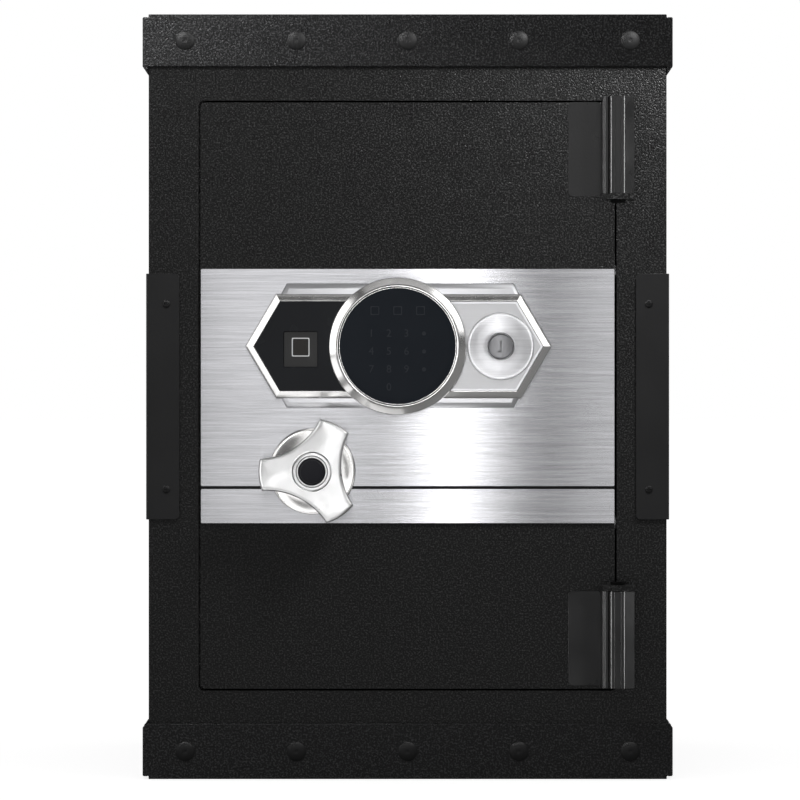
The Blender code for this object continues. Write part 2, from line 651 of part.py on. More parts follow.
def make_boltwork(looks, door_axis):
    """Sliding carriage with its three bolts, the studs that guide it, and two fixed bolts."""
    start = (BOLT_TIP_X, FACE_Y - BOLT_DEPTH, BOLT_HEIGHTS["middle"])
    carriage_axis = pivot("carriage_axis", start, door_axis)
    back = CARRIAGE_FRONT - CARRIAGE_THICK
    carriage = plate("bolt_carriage", carriage_outline(), back, CARRIAGE_FRONT, looks["steel"])
    low, high = BOLT_HEIGHTS["lower"] - CARRIAGE_REACH, BOLT_HEIGHTS["upper"] + CARRIAGE_REACH
    inner = FLANGE_X + CARRIAGE_THICK
    section = [(FLANGE_X, low), (inner, low), (inner, high), (FLANGE_X, high)]
    combine(carriage, plate("carriage_flange", section, -0.044, CARRIAGE_FRONT, None), "UNION")
    offset = CRANK / math.sqrt(2)
    room = CRANK_PIN + 0.0010
    slot = rounded((KNOB_X + offset - room, KNOB_X + offset + room),
                   (KNOB_Z + offset - CRANK_PIN - 0.0006, KNOB_Z + CRANK + CRANK_PIN + 0.0006), 0.0015, 2)
    combine(carriage, plate("crank_slot", slot, -0.03, 0, None), "DIFFERENCE")
    stud_x = -0.102
    for name, z in (("lower", low + 0.010), ("upper", high - 0.010)):
        slot = rounded((stud_x - 0.0038, stud_x + THROW + 0.0038), (z - 0.0038, z + 0.0038), 0.0037, 3)
        combine(carriage, plate("guide_slot", slot, -0.03, 0, None), "DIFFERENCE")
        stud = [(0, -DOOR_THICK - GAP), (0.006, -DOOR_THICK - GAP), (0.006, CARRIAGE_FRONT + GAP)]
        stud += [(0.0033, CARRIAGE_FRONT + GAP), (0.0033, back - GAP), (0.006, back - GAP)]
        stud += [(0.006, back - 0.003), (0, back - 0.003)]
        stud.reverse()
        guide = round_piece(f"carriage_guide_{name}", stud, looks["steel"], (stud_x, z), 20)
        hang(door_axis, guide)
    for name, z in BOLT_HEIGHTS.items():
        make_bolt(name, z, carriage, looks["chrome_bolt"], carriage_axis)
    hang(carriage_axis, carriage)
    for name, z in (("lower", 0.200), ("upper", 0.400)):
        start = (TRAY_HALF - 0.012, FACE_Y - BOLT_DEPTH, z)
        end = (OPEN_HALF + 0.008, FACE_Y - BOLT_DEPTH, z)
        dead = rod(f"dead_bolt_{name}", BOLT_RADIUS, start, end, looks["chrome_bolt"], 0.0015)
        hang(door_axis, dead)


def make_bolt(name, z, carriage, look, carriage_axis):
    """A round bolt whose neck is riveted through the carriage's flange."""
    neck = 0.006
    length = FLANGE_X - GAP - BOLT_TIP_X
    tail = length + 0.003 + 2 * GAP
    profile = [(0, 0), (BOLT_RADIUS - 0.002, 0), (BOLT_RADIUS, 0.002), (BOLT_RADIUS, length)]
    profile += [(neck, length), (neck, tail), (neck + 0.002, tail)]
    profile += [(neck + 0.002, tail + 0.0025), (0, tail + 0.0025)]
    bolt = add(f"bolt_{name}", turned(profile, 20), look, True)
    bolt.rotation_euler = (0, math.pi / 2, 0)
    bolt.location = (BOLT_TIP_X, FACE_Y - BOLT_DEPTH, z)
    hole = rod(f"flange_hole_{name}", neck + GAP, (FLANGE_X - 0.01, 0, 0), (FLANGE_X + 0.01, 0, 0), None)
    hole.location = (FLANGE_X - 0.01, FACE_Y - BOLT_DEPTH, z)
    combine(carriage, hole, "DIFFERENCE")
    hang(carriage_axis, bolt)


def make_solenoid(looks, door_axis):
    """Coil block whose plunger drops into a notch of the carriage's arm."""
    depth = -(CARRIAGE_FRONT - CARRIAGE_THICK / 2)
    centre_y = FACE_Y + depth
    low = ARM_TOP + 0.010
    body = block("solenoid_body", (PLUNGER_X - 0.012, PLUNGER_X + 0.012),
                 (FACE_Y + DOOR_THICK + GAP, FACE_Y + 0.0235), (low, low + 0.034), looks["dark"])
    tool = rod("solenoid_bore", PLUNGER_RADIUS + GAP, (0, 0, low - 0.005), (0, 0, low + 0.029), None)
    tool.location = (PLUNGER_X, centre_y, low - 0.005)
    combine(body, tool, "DIFFERENCE")
    hang(door_axis, body)
    rest = ARM_TOP + 0.0008
    plunger_axis = pivot("plunger_axis", (PLUNGER_X, centre_y, rest), door_axis)
    plunger = rod("solenoid_plunger", PLUNGER_RADIUS, (PLUNGER_X, centre_y, rest),
                  (PLUNGER_X, centre_y, low + 0.022), looks["steel"], 0.0006, 20)
    hang(plunger_axis, plunger)


def make_tray(looks, door_axis):
    """The box round the boltwork and the cover that closes it towards the inside."""
    outline = rounded((-TRAY_HALF, TRAY_HALF), (TRAY_LOW, TRAY_HIGH), 0.004, 3)
    front = -DOOR_THICK - GAP
    tray = plate("boltwork_frame", outline, -TRAY_DEPTH, front, looks["paint"])
    inside = rounded((-TRAY_HALF + TRAY_WALL, TRAY_HALF - TRAY_WALL),
                     (TRAY_LOW + TRAY_WALL, TRAY_HIGH - TRAY_WALL), 0.0025, 3)
    combine(tray, plate("tray_inside", inside, -0.08, 0.01, None), "DIFFERENCE")
    bolt_y = FACE_Y - BOLT_DEPTH
    places = [(-TRAY_HALF, z) for z in BOLT_HEIGHTS.values()] + [(TRAY_HALF, 0.200), (TRAY_HALF, 0.400)]
    for x, z in places:
        tool = rod("tray_hole", BOLT_RADIUS + 0.0006, (x - 0.008, 0, 0), (x + 0.008, 0, 0), None)
        tool.location = (x - 0.008, bolt_y, z)
        combine(tray, tool, "DIFFERENCE")
    lid_outline = rounded((-TRAY_HALF, TRAY_HALF), (TRAY_LOW, TRAY_HIGH), 0.006, 3)
    cover_front = -TRAY_DEPTH - GAP
    cover = plate("inner_cover", lid_outline, cover_front - COVER_THICK, cover_front, looks["paint"])
    x0, x1, z0, z1 = BATTERY_BOX
    window = rounded((x0 - 0.0005, x1 + 0.0005), (z0 - 0.0005, z1 + 0.0005), 0.002, 2)
    combine(cover, plate("battery_window", window, -0.08, 0, None), "DIFFERENCE")
    drill(cover, 0.0046, (-0.110, 0.440), -0.08, 0)
    hang(door_axis, tray, cover)


def make_electrics(looks, door_axis):
    """Circuit board, battery case with its pack and sliding lid, and the reset button."""
    edge = rounded((-0.010, 0.105), (0.360, 0.440), 0.002, 2)
    board = plate("circuit_board", edge, -0.0276, -0.026, looks["board"])
    x0, x1, z0, z1 = BATTERY_BOX
    floor = -TRAY_DEPTH + 0.021
    rim = -TRAY_DEPTH - GAP - COVER_THICK
    case = plate("battery_case", rounded((x0, x1), (z0, z1), 0.002, 2), rim, floor, looks["plastic"])
    hollow = rounded((x0 + 0.0015, x1 - 0.0015), (z0 + 0.0015, z1 - 0.0015), 0.001, 1)
    combine(case, plate("battery_hollow", hollow, -0.08, floor - 0.0015, None), "DIFFERENCE")
    pack = battery_pack(x0 + 0.0032, z0 + 0.006, floor - 0.0095, looks["cells"])
    hang(door_axis, board, case, pack)
    lid_axis = pivot("lid_axis", ((x0 + x1) / 2, FACE_Y - rim, z0), door_axis)
    lid = plate("battery_lid", rounded((x0 - 0.003, x1 + 0.003), (z0 - 0.003, z1 + 0.003), 0.003, 3),
                rim - GAP - 0.0020, rim - GAP, looks["plastic"])
    grip = plate("lid_grip", rounded((x0 + 0.020, x1 - 0.020), (z1 - 0.012, z1 - 0.007), 0.002, 2),
                 rim - 0.0042, rim - 0.0010, None)
    combine(lid, grip, "UNION")
    hang(lid_axis, lid)
    reset_axis = pivot("reset_axis", (-0.110, FACE_Y + TRAY_DEPTH, 0.440), door_axis)
    stem = [(0, -TRAY_DEPTH - 0.0052), (0.0034, -TRAY_DEPTH - 0.0052), (0.0040, -TRAY_DEPTH - 0.0046)]
    stem += [(0.0040, -TRAY_DEPTH + 0.0004), (0.0062, -TRAY_DEPTH + 0.0004), (0.0062, -TRAY_DEPTH + 0.0030)]
    stem += [(0, -TRAY_DEPTH + 0.0030)]
    hang(reset_axis, round_piece("reset_button", stem, looks["red"], (-0.110, 0.440), 20))


def battery_pack(x, z, depth, look):
    """Four cells side by side in one holder: a base bar with the cells sunk into it."""
    radius, length, pitch = 0.0070, 0.050, 0.0160
    holder = plate("battery_pack", rounded((x, x + 0.0630), (z, z + length + 0.006), 0.001, 1),
                   depth + 0.0030, depth + 0.0068, look)
    for k in range(4):
        start = (x + 0.0078 + k * pitch, FACE_Y - depth, z + 0.003)
        cell = rod("cell", radius, start, (start[0], start[1], start[2] + length), None, 0.0006, 16)
        combine(holder, cell, "UNION")
    return holder


def main():
    for obj in list(bpy.data.objects):
        bpy.data.objects.remove(obj, do_unlink=True)
    looks = {
        "paint": material("powder_coat", (0.018, 0.018, 0.018), 0.55),
        "smooth_paint": material("smooth_paint", (0.012, 0.012, 0.013), 0.35),
        "stainless": material("brushed_stainless", (0.60, 0.60, 0.62), 0.32, 1.0),
        "chrome": material("satin_chrome", (0.70, 0.70, 0.71), 0.16, 1.0),
        "chrome_bolt": material("plated_bolt", (0.66, 0.66, 0.67), 0.20, 1.0),
        "silver": material("silver_casting", (0.55, 0.56, 0.58), 0.30, 1.0),
        "satin": material("satin_knob", (0.74, 0.74, 0.75), 0.38, 1.0),
        "steel": material("zinc_steel", (0.46, 0.46, 0.47), 0.38, 1.0),
        "brass": material("brass_barrel", (0.62, 0.47, 0.20), 0.30, 1.0),
        "black": material("black_plastic", (0.014, 0.015, 0.017), 0.30),
        "glass": material("keypad_glass", (0.012, 0.015, 0.020), 0.06),
        "sensor": material("sensor_window", (0.060, 0.052, 0.044), 0.25),
        "felt": material("grey_felt", (0.055, 0.055, 0.058), 0.95),
        "dark": material("solenoid_tape", (0.030, 0.030, 0.032), 0.50),
        "board": material("circuit_board", (0.010, 0.090, 0.035), 0.45),
        "plastic": material("battery_plastic", (0.020, 0.020, 0.021), 0.55),
        "cells": material("battery_cells", (0.140, 0.110, 0.050), 0.35, 0.4),
        "red": material("reset_button", (0.55, 0.02, 0.02), 0.40),
    }
    make_walls(looks["paint"])
    make_front_frame(looks["paint"])
    make_band("top", TOP_BAND_LOW, HEIGHT, True, looks["smooth_paint"])
    make_band("bottom", 0.0, BOTTOM_BAND_HIGH, False, looks["smooth_paint"])
    make_bracket("left", -1, looks["smooth_paint"])
    make_bracket("right", 1, looks["smooth_paint"])
    make_door_stop(looks["paint"])
    make_interior(looks["paint"], looks["felt"])
    door_axis = pivot("door_axis", (HINGE_X, FACE_Y - HINGE_OUT, (OPEN_LOW + OPEN_HIGH) / 2))
    for level in HINGE_LOWS:
        make_hinge(level, looks["smooth_paint"], looks["steel"], door_axis)
    make_door_skin(looks["paint"], looks["stainless"], door_axis)
    make_lock_unit(looks, door_axis)
    make_key_lock(looks, door_axis)
    make_knob(looks, door_axis)
    make_boltwork(looks, door_axis)
    make_solenoid(looks, door_axis)
    make_tray(looks, door_axis)
    make_electrics(looks, door_axis)


main()
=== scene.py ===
"""Looks for the compact gun safe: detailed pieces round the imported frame, materials, lights, camera.

Lengths are in metres. FACE is the plane of the door's face, and out(d) is the plane a distance d
in front of it. Outlines are drawn as (x, z) points seen from the front.
"""

import json
import math

import bmesh
import bpy
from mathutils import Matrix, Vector

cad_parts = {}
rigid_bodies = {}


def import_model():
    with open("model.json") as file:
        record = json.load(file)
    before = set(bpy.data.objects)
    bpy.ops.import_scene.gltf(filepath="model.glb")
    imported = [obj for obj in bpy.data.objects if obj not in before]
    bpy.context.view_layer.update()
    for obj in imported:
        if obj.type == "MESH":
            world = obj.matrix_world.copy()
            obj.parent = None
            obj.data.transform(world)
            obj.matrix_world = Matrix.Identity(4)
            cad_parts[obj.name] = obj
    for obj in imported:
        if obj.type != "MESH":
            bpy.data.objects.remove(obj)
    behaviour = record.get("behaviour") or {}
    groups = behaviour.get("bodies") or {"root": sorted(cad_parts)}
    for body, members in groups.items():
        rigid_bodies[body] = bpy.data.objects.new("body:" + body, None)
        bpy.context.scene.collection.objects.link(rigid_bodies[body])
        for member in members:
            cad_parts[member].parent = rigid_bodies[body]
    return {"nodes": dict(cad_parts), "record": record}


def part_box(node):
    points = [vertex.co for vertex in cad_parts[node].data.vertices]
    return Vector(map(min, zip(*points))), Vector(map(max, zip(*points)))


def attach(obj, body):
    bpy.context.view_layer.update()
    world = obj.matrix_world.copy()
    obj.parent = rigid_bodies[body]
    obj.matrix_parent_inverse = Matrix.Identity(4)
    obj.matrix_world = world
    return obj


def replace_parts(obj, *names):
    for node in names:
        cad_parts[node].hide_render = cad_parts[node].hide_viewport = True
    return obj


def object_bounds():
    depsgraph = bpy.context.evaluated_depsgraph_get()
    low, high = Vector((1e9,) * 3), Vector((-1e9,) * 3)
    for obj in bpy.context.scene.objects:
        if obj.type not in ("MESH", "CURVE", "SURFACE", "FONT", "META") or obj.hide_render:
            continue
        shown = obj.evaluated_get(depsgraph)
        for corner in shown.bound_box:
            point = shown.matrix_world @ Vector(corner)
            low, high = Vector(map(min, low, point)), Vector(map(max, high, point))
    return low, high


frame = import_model()
CAD_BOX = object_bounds()
NODES = frame["nodes"]

MM = 0.001
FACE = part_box("door_plate")[0].y
SIDE_BANDS = ("top_band_left", "top_band_right", "bottom_band_left", "bottom_band_right")
HINGE_LUGS = ("hinge_lug_top", "hinge_lug_bottom")


def centre(node):
    """Middle of a node's box as (x, z)."""
    low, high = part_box(node)
    return ((low.x + high.x) / 2, (low.z + high.z) / 2)


def out(distance):
    """The plane at this distance in front of the door's face."""
    return FACE - distance


def height_of(node):
    """How far the node's front stands out of the door's face."""
    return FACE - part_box(node)[0].y


def foot_of(node):
    """How far the node's back stands out of the door's face."""
    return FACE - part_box(node)[1].y


# -------------------- materials


class Nodes:
    """A new material and short calls for its nodes."""

    def __init__(self, name):
        self.material = bpy.data.materials.new(name)
        self.material.use_nodes = True
        self.tree = self.material.node_tree
        self.shader = self.tree.nodes["Principled BSDF"]
        self.place = self.tree.nodes.new("ShaderNodeTexCoord").outputs["Object"]

    def link(self, source, target):
        self.tree.links.new(source, target)

    def mapped(self, scale):
        node = self.tree.nodes.new("ShaderNodeMapping")
        node.inputs["Scale"].default_value = scale
        self.link(self.place, node.inputs["Vector"])
        return node.outputs["Vector"]

    def noise(self, scale, detail=2.0, roughness=0.5, stretch=(1, 1, 1), distortion=0.0):
        node = self.tree.nodes.new("ShaderNodeTexNoise")
        node.inputs["Scale"].default_value = scale
        node.inputs["Detail"].default_value = detail
        node.inputs["Roughness"].default_value = roughness
        node.inputs["Distortion"].default_value = distortion
        self.link(self.mapped(stretch), node.inputs["Vector"])
        return node.outputs["Fac"]

    def spread(self, value, low, high, from_low=0.3, from_high=0.7):
        """The value's range from_low to from_high stretched to low to high, and cut off there."""
        node = self.tree.nodes.new("ShaderNodeMapRange")
        self.link(value, node.inputs["Value"])
        node.inputs["From Min"].default_value = from_low
        node.inputs["From Max"].default_value = from_high
        node.inputs["To Min"].default_value = low
        node.inputs["To Max"].default_value = high
        return node.outputs["Result"]

    def add(self, first, second, share):
        """The first value and a share of the second."""
        node = self.tree.nodes.new("ShaderNodeMath")
        node.operation = "MULTIPLY_ADD"
        self.link(second, node.inputs[0])
        node.inputs[1].default_value = share
        self.link(first, node.inputs[2])
        return node.outputs["Value"]

    def shade(self, value, dark, light):
        """Colour between two shades, driven by a value from 0 to 1."""
        node = self.tree.nodes.new("ShaderNodeValToRGB")
        node.color_ramp.elements[0].color = (*dark, 1)
        node.color_ramp.elements[1].color = (*light, 1)
        self.link(value, node.inputs["Fac"])
        self.link(node.outputs["Color"], self.shader.inputs["Base Color"])

    def bump(self, value, depth):
        node = self.tree.nodes.new("ShaderNodeBump")
        node.inputs["Strength"].default_value = 1.0
        node.inputs["Distance"].default_value = depth
        self.link(value, node.inputs["Height"])
        self.link(node.outputs["Normal"], self.shader.inputs["Normal"])

    def rough(self, value, low, high):
        self.link(self.spread(value, low, high), self.shader.inputs["Roughness"])

    def set(self, **values):
        for name, value in values.items():
            self.shader.inputs[name.replace("_", " ")].default_value = value

    def tangent_round_x(self):
        node = self.tree.nodes.new("ShaderNodeTangent")
        node.direction_type = "RADIAL"
        node.axis = "X"
        self.link(node.outputs["Tangent"], self.shader.inputs["Tangent"])


def times(shade, share):
    """A shade made darker or brighter by a factor."""
    return tuple(min(1, channel * share) for channel in shade)


def powder_coat(name, shade, painted_glint_shade, roughness=0.29, grain=760):
    """Black paint with an orange-peel skin: grains about 1.3 mm across, the tops of the grains painted
    paler as painted glints.
    """
    made = Nodes(name)
    peel = made.noise(grain, 1.0)
    # Painted highlight: the tops of the grains get a paler colour that stands for their glints.
    painted_glint_mask = made.spread(peel, 0.0, 1.0, 0.48, 0.74)
    made.shade(made.add(painted_glint_mask, made.noise(9.0, 2.0), 0.05), shade, painted_glint_shade)
    made.bump(peel, 0.5 * MM)
    made.rough(made.noise(60.0, 3.0), roughness - 0.04, roughness + 0.06)
    made.set(Specular_IOR_Level=0.36)
    return made.material


def smooth_coat(name, shade, roughness):
    """The same paint laid on thin, with a faint skin."""
    made = Nodes(name)
    made.shade(made.noise(14.0, 2.0), times(shade, 0.85), times(shade, 1.2))
    made.bump(made.noise(520.0, 2.0), 0.06 * MM)
    made.rough(made.noise(45.0, 3.0), roughness - 0.04, roughness + 0.06)
    made.set(Specular_IOR_Level=0.30)
    return made.material


def brushed(name, shade, roughness, stretch, contrast, aniso):
    """Metal with fine scratches along one axis; stretch gives the scratches' frequency per axis."""
    made = Nodes(name)
    fine = made.noise(1.0, 3.0, 0.6, stretch)
    coarse = made.noise(1.0, 2.0, 0.5, tuple(s * 0.45 for s in stretch))
    both = made.add(fine, coarse, 0.7)
    level = made.spread(both, 0.0, 1.0, 0.5, 1.2)
    made.shade(level, times(shade, 1 - contrast), times(shade, 1 + contrast))
    made.bump(both, 0.02 * MM)
    made.rough(both, roughness - 0.05, roughness + 0.05)
    made.set(Metallic=1.0, Anisotropic=aniso)
    made.tangent_round_x()
    return made.material


def polished(name, shade, roughness, grain=700.0, depth=0.006 * MM):
    """Plated metal with a faint cloudiness and hairline marks."""
    made = Nodes(name)
    made.shade(made.noise(25.0, 3.0), times(shade, 0.95), times(shade, 1.05))
    made.bump(made.noise(grain, 2.0), depth)
    made.rough(made.noise(90.0, 3.0), roughness * 0.75, roughness * 1.3)
    made.set(Metallic=1.0)
    return made.material


def plastic(name, shade, roughness, depth=0.03 * MM, coat=0.0, specular=0.35):
    """Moulded plastic or glass with a fine grain, and a clear coat if one is given."""
    made = Nodes(name)
    made.shade(made.noise(18.0, 2.0), times(shade, 0.88), times(shade, 1.14))
    made.bump(made.noise(900.0, 2.0), depth)
    made.rough(made.noise(70.0, 2.0), max(0.03, roughness - 0.05), roughness + 0.05)
    made.set(Coat_Weight=coat, Coat_Roughness=0.06, Specular_IOR_Level=specular)
    return made.material


def felt(name, shade):
    """Short pile: tangled fibres with a soft sheen."""
    made = Nodes(name)
    fibre = made.noise(900.0, 4.0, 0.7, (1, 1, 1), 1.4)
    pile = made.noise(120.0, 3.0, 0.6)
    made.shade(made.add(fibre, pile, 0.5), times(shade, 0.45), times(shade, 1.6))
    made.bump(made.add(fibre, pile, 0.8), 0.6 * MM)
    made.set(Roughness=0.96, Sheen_Weight=0.35, Sheen_Roughness=0.5)
    return made.material


def glow_mark(name, shade, strength):
    """Print that may glow."""
    made = Nodes(name)
    made.shade(made.noise(500.0, 1.0), times(shade, 0.92), shade)
    made.set(Roughness=0.3, Emission_Color=(*shade, 1), Emission_Strength=strength)
    return made.material


ACROSS = (30, 60, 1700)     # scratches that run along X
LOOKS = {
    # One powder coat in three copies: their shades and glint colours are set apart to match how brightly
    # each part is lit, as painted light and shade.
    "paint": powder_coat("powder_coat", (0.0056, 0.0056, 0.0057), (0.044, 0.044, 0.044)),
    "face": powder_coat("face_coat", (0.0066, 0.0066, 0.0067), (0.064, 0.064, 0.064)),
    "band": powder_coat("band_coat", (0.0075, 0.0075, 0.0078), (0.070, 0.070, 0.072), 0.30, 700),
    "smooth": smooth_coat("smooth_coat", (0.0145, 0.0145, 0.0149), 0.38),
    # The hinges wear the brackets' thin paint, made paler: painted light for the light the leaves catch.
    "hinge": smooth_coat("hinge_painted_light_coat", (0.0220, 0.0220, 0.0225), 0.30),
    # Darker than the body's paint: painted shade for the shadow under the hinge barrels.
    "lug": smooth_coat("pin_painted_shade_coat", (0.0035, 0.0035, 0.0036), 0.45),
    "rivet": smooth_coat("rivet_coat", (0.0062, 0.0062, 0.0064), 0.55),
    "stainless": brushed("stainless", (0.53, 0.53, 0.55), 0.19, ACROSS, contrast=0.22, aniso=0.95),
    "silver": brushed("silver_casting", (0.70, 0.70, 0.72), 0.30, ACROSS, contrast=0.04, aniso=0.3),
    "inlay": brushed("inlay_coat", (0.47, 0.47, 0.48), 0.34, ACROSS, contrast=0.03, aniso=0.3),
    "rosette": brushed("rosette", (0.82, 0.82, 0.84), 0.36, (40, 60, 1300), contrast=0.14, aniso=0.7),
    "chrome": polished("satin_chrome", (0.86, 0.85, 0.84), 0.19, 1500.0, 0.002 * MM),
    "knob": polished("satin_casting", (0.80, 0.80, 0.80), 0.36, 1800.0, 0.003 * MM),
    "bolt": polished("plated_bolt", (0.78, 0.78, 0.79), 0.14),
    "steel": polished("zinc_steel", (0.45, 0.45, 0.46), 0.34, 500.0, 0.02 * MM),
    "plug": brushed("key_plug_face", (0.29, 0.29, 0.30), 0.36, (1500, 60, 9), contrast=0.05, aniso=0.2),
    "brass": polished("machined_brass", (0.62, 0.46, 0.20), 0.24),
    "gloss": plastic("gloss_black", (0.0150, 0.0158, 0.0175), 0.24, 0.004 * MM, specular=0.12),
    "cap": plastic("cap_black", (0.0150, 0.0150, 0.0180), 0.34, 0.01 * MM, specular=0.15),
    "glass": plastic("keypad_glass", (0.0132, 0.0155, 0.0192), 0.16, 0.001 * MM, specular=0.05),
    "sensor": plastic("sensor_window", (0.026, 0.024, 0.022), 0.22, 0.004 * MM, coat=0.4),
    "pocket": plastic("pocket_black", (0.034, 0.034, 0.034), 0.45),
    "felt": felt("grey_felt", (0.085, 0.085, 0.090)),
    "plastic": plastic("matte_plastic", (0.021, 0.021, 0.022), 0.50),
    "board": plastic("solder_mask", (0.010, 0.075, 0.030), 0.35, coat=0.3),
    "cells": plastic("cell_wrap", (0.16, 0.11, 0.04), 0.30, coat=0.5),
    "red": plastic("red_plastic", (0.48, 0.016, 0.014), 0.30),
    # The white square's glow is painted light: it stands for the square's bright highlight.
    "mark": glow_mark("white_mark_painted_glow", (0.92, 0.93, 0.93), 0.42),
    "key_mark": glow_mark("key_mark", (0.0165, 0.0192, 0.0238), 0.0),
}

# The slots whose look has another name.
SLOT_LOOKS = {
    "smooth_paint": "smooth",
    "satin": "knob",
    "plated_bolt": "bolt",
    "black_plastic": "gloss",
    "keypad_glass": "glass",
    "matte_plastic": "plastic",
    "red_plastic": "red",
}


def dress_frame():
    """Gives every CAD node the detailed material of its slot."""
    for part in frame["record"]["subparts"]:
        slot = part["material_slot"]
        materials = NODES[part["node"]].data.materials
        materials.clear()
        materials.append(LOOKS[SLOT_LOOKS.get(slot, slot)])
    for node in SIDE_BANDS:
        NODES[node].data.materials[0] = LOOKS["band"]
    for node in ("front_frame", "door_plate", *HINGE_LUGS):
        NODES[node].data.materials[0] = LOOKS["face"]
    # The pins are painted over like the body, and their coat is darker still as painted shade under the
    # barrels.
    for node in ("hinge_pin_top", "hinge_pin_bottom"):
        NODES[node].data.materials[0] = LOOKS["lug"]


# -------------------- meshes


SHARP = 38      # degrees from which an edge stays sharp


def piece(name, bm, body, look, smooth=SHARP):
    """Names a bmesh, shades it smooth up to an angle and lets it ride on a body."""
    bmesh.ops.recalc_face_normals(bm, faces=bm.faces)
    mesh = bpy.data.meshes.new(name)
    bm.to_mesh(mesh)
    bm.free()
    mesh.shade_smooth()
    mesh.set_sharp_from_angle(angle=math.radians(smooth))
    obj = bpy.data.objects.new(name, mesh)
    bpy.context.scene.collection.objects.link(obj)
    mesh.materials.append(LOOKS[look])
    if body:
        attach(obj, body)
    return obj


def bevelled(obj, width, segments=3, angle=30):
    """Rounds the edges that turn by more than the angle."""
    edge = obj.modifiers.new("edge", "BEVEL")
    edge.width = width
    edge.segments = segments
    edge.limit_method = "ANGLE"
    edge.angle_limit = math.radians(angle)
    edge.harden_normals = True
    return obj


def soften(node, width, segments=2):
    """Rounds the edges of a CAD node that stays."""
    bevelled(NODES[node], width, segments, 40).modifiers["edge"].harden_normals = False


def loops_to_mesh(loops, ring=False):
    """Bridges loops of equal length; a ring joins the last loop to the first, the rest are capped."""
    bm = bmesh.new()
    made = [[bm.verts.new(p) for p in loop] for loop in loops]
    pairs = list(zip(made, made[1:]))
    if ring:
        pairs.append((made[-1], made[0]))
    for first, second in pairs:
        for k in range(len(first)):
            after = (k + 1) % len(first)
            bm.faces.new((first[k], first[after], second[after], second[k]))
    if not ring:
        bm.faces.new(made[0])
        bm.faces.new(made[-1])
    return bm


def raised(outline, distance):
    """An outline of (x, z) points as a loop at this distance out of the door's face."""
    return [(x, out(distance), z) for x, z in outline]


def ring_points(at, radius, segments=28):
    """A circle as (x, z) points."""
    angles = [2 * math.pi * k / segments for k in range(segments)]
    return [(at[0] + radius * math.cos(a), at[1] + radius * math.sin(a)) for a in angles]


def turned(profile, at, segments, ring=False):
    """Turned about an axis that points out of the door: profile is (radius, distance out)."""
    loops = [raised(ring_points(at, radius, segments), distance) for radius, distance in profile]
    return loops_to_mesh(loops, ring=ring)


def in_mm(profile, base=0.0):
    """A profile of (radius, distance) in millimetres, counted from a base in metres."""
    return [(radius * MM, base + distance * MM) for radius, distance in profile]


def prism(outline, low, high):
    """An outline of (x, z) points between two distances from the door's face."""
    return loops_to_mesh([raised(outline, distance) for distance in (low, high)])


def bar(at, wide, tall, low, high):
    """A prism on a rectangle that reaches wide and tall to each side of its middle."""
    x, z = at
    outline = [(x - wide, z - tall), (x + wide, z - tall), (x + wide, z + tall), (x - wide, z + tall)]
    return prism(outline, low, high)


def quarter_turn(steps):
    """Angles from 0 to 90 degrees."""
    return [math.radians(90 * step / steps) for step in range(steps + 1)]


def slab(x, y, z):
    """A box between pairs of coordinates."""
    bm = bmesh.new()
    bmesh.ops.create_cube(bm, size=1.0)
    for vert in bm.verts:
        vert.co = Vector((x[vert.co.x > 0], y[vert.co.y > 0], z[vert.co.z > 0]))
    return bm


def rounded(x, z, radius, steps=6):
    """Outline of a rectangle with rounded corners."""
    corners = (
        (x[1] - radius, z[1] - radius, 0),
        (x[0] + radius, z[1] - radius, 90),
        (x[0] + radius, z[0] + radius, 180),
        (x[1] - radius, z[0] + radius, 270),
    )
    points = []
    for corner_x, corner_z, start in corners:
        for turn in quarter_turn(steps):
            angle = math.radians(start) + turn
            points.append((corner_x + radius * math.cos(angle), corner_z + radius * math.sin(angle)))
    return points


def grown(x, z, reach):
    """The ranges x and z, longer by reach at each end."""
    return (x[0] - reach, x[1] + reach), (z[0] - reach, z[1] + reach)


def box_xz(node):
    """A node's box as its ranges of x and z."""
    low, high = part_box(node)
    return (low.x, high.x), (low.z, high.z)


def carve(obj, tool_bm, operation="DIFFERENCE"):
    """Cuts a closed bmesh out of a piece, or joins it on with UNION, and keeps the result."""
    bmesh.ops.recalc_face_normals(tool_bm, faces=tool_bm.faces)
    mesh = bpy.data.meshes.new("tool")
    tool_bm.to_mesh(mesh)
    tool_bm.free()
    cutter = bpy.data.objects.new("tool", mesh)
    bpy.context.scene.collection.objects.link(cutter)
    step = obj.modifiers.new("cut", "BOOLEAN")
    step.object = cutter
    step.operation = operation
    step.solver = "EXACT"
    graph = bpy.context.evaluated_depsgraph_get()
    result = bpy.data.meshes.new_from_object(obj.evaluated_get(graph))
    obj.modifiers.remove(step)
    obj.data = result
    bpy.data.objects.remove(cutter)
    result.shade_smooth()
    result.set_sharp_from_angle(angle=math.radians(SHARP))


def joined(*meshes):
    """One bmesh with the shells of several."""
    whole = bmesh.new()
    for bm in meshes:
        bmesh.ops.recalc_face_normals(bm, faces=bm.faces)
        mesh = bpy.data.meshes.new("shell")
        bm.to_mesh(mesh)
        bm.free()
        whole.from_mesh(mesh)
        bpy.data.meshes.remove(mesh)
    return whole


# -------------------- body


BAND_LAP = 0.12 * MM        # how far the front plates stand before the side bands
RIVET_PITCH = 87.3 * MM


def make_bands():
    """Front plates of the bands with rounded edges, and their domed rivets."""
    for level in ("top", "bottom"):
        node = f"{level}_band_front"
        x, z = box_xz(node)
        low, high = foot_of(node), height_of("top_band_left") + BAND_LAP
        plate = prism(band_outline(level, x, z), low, high)
        plate = piece(f"{level}_band_plate", plate, "safe", "band")
        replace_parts(bevelled(plate, 0.6 * MM), node)
        middle = (z[0] + z[1]) / 2
        for step in range(-2, 3):
            make_rivet(f"{level}_rivet_{step + 3}", step * RIVET_PITCH, middle, high)


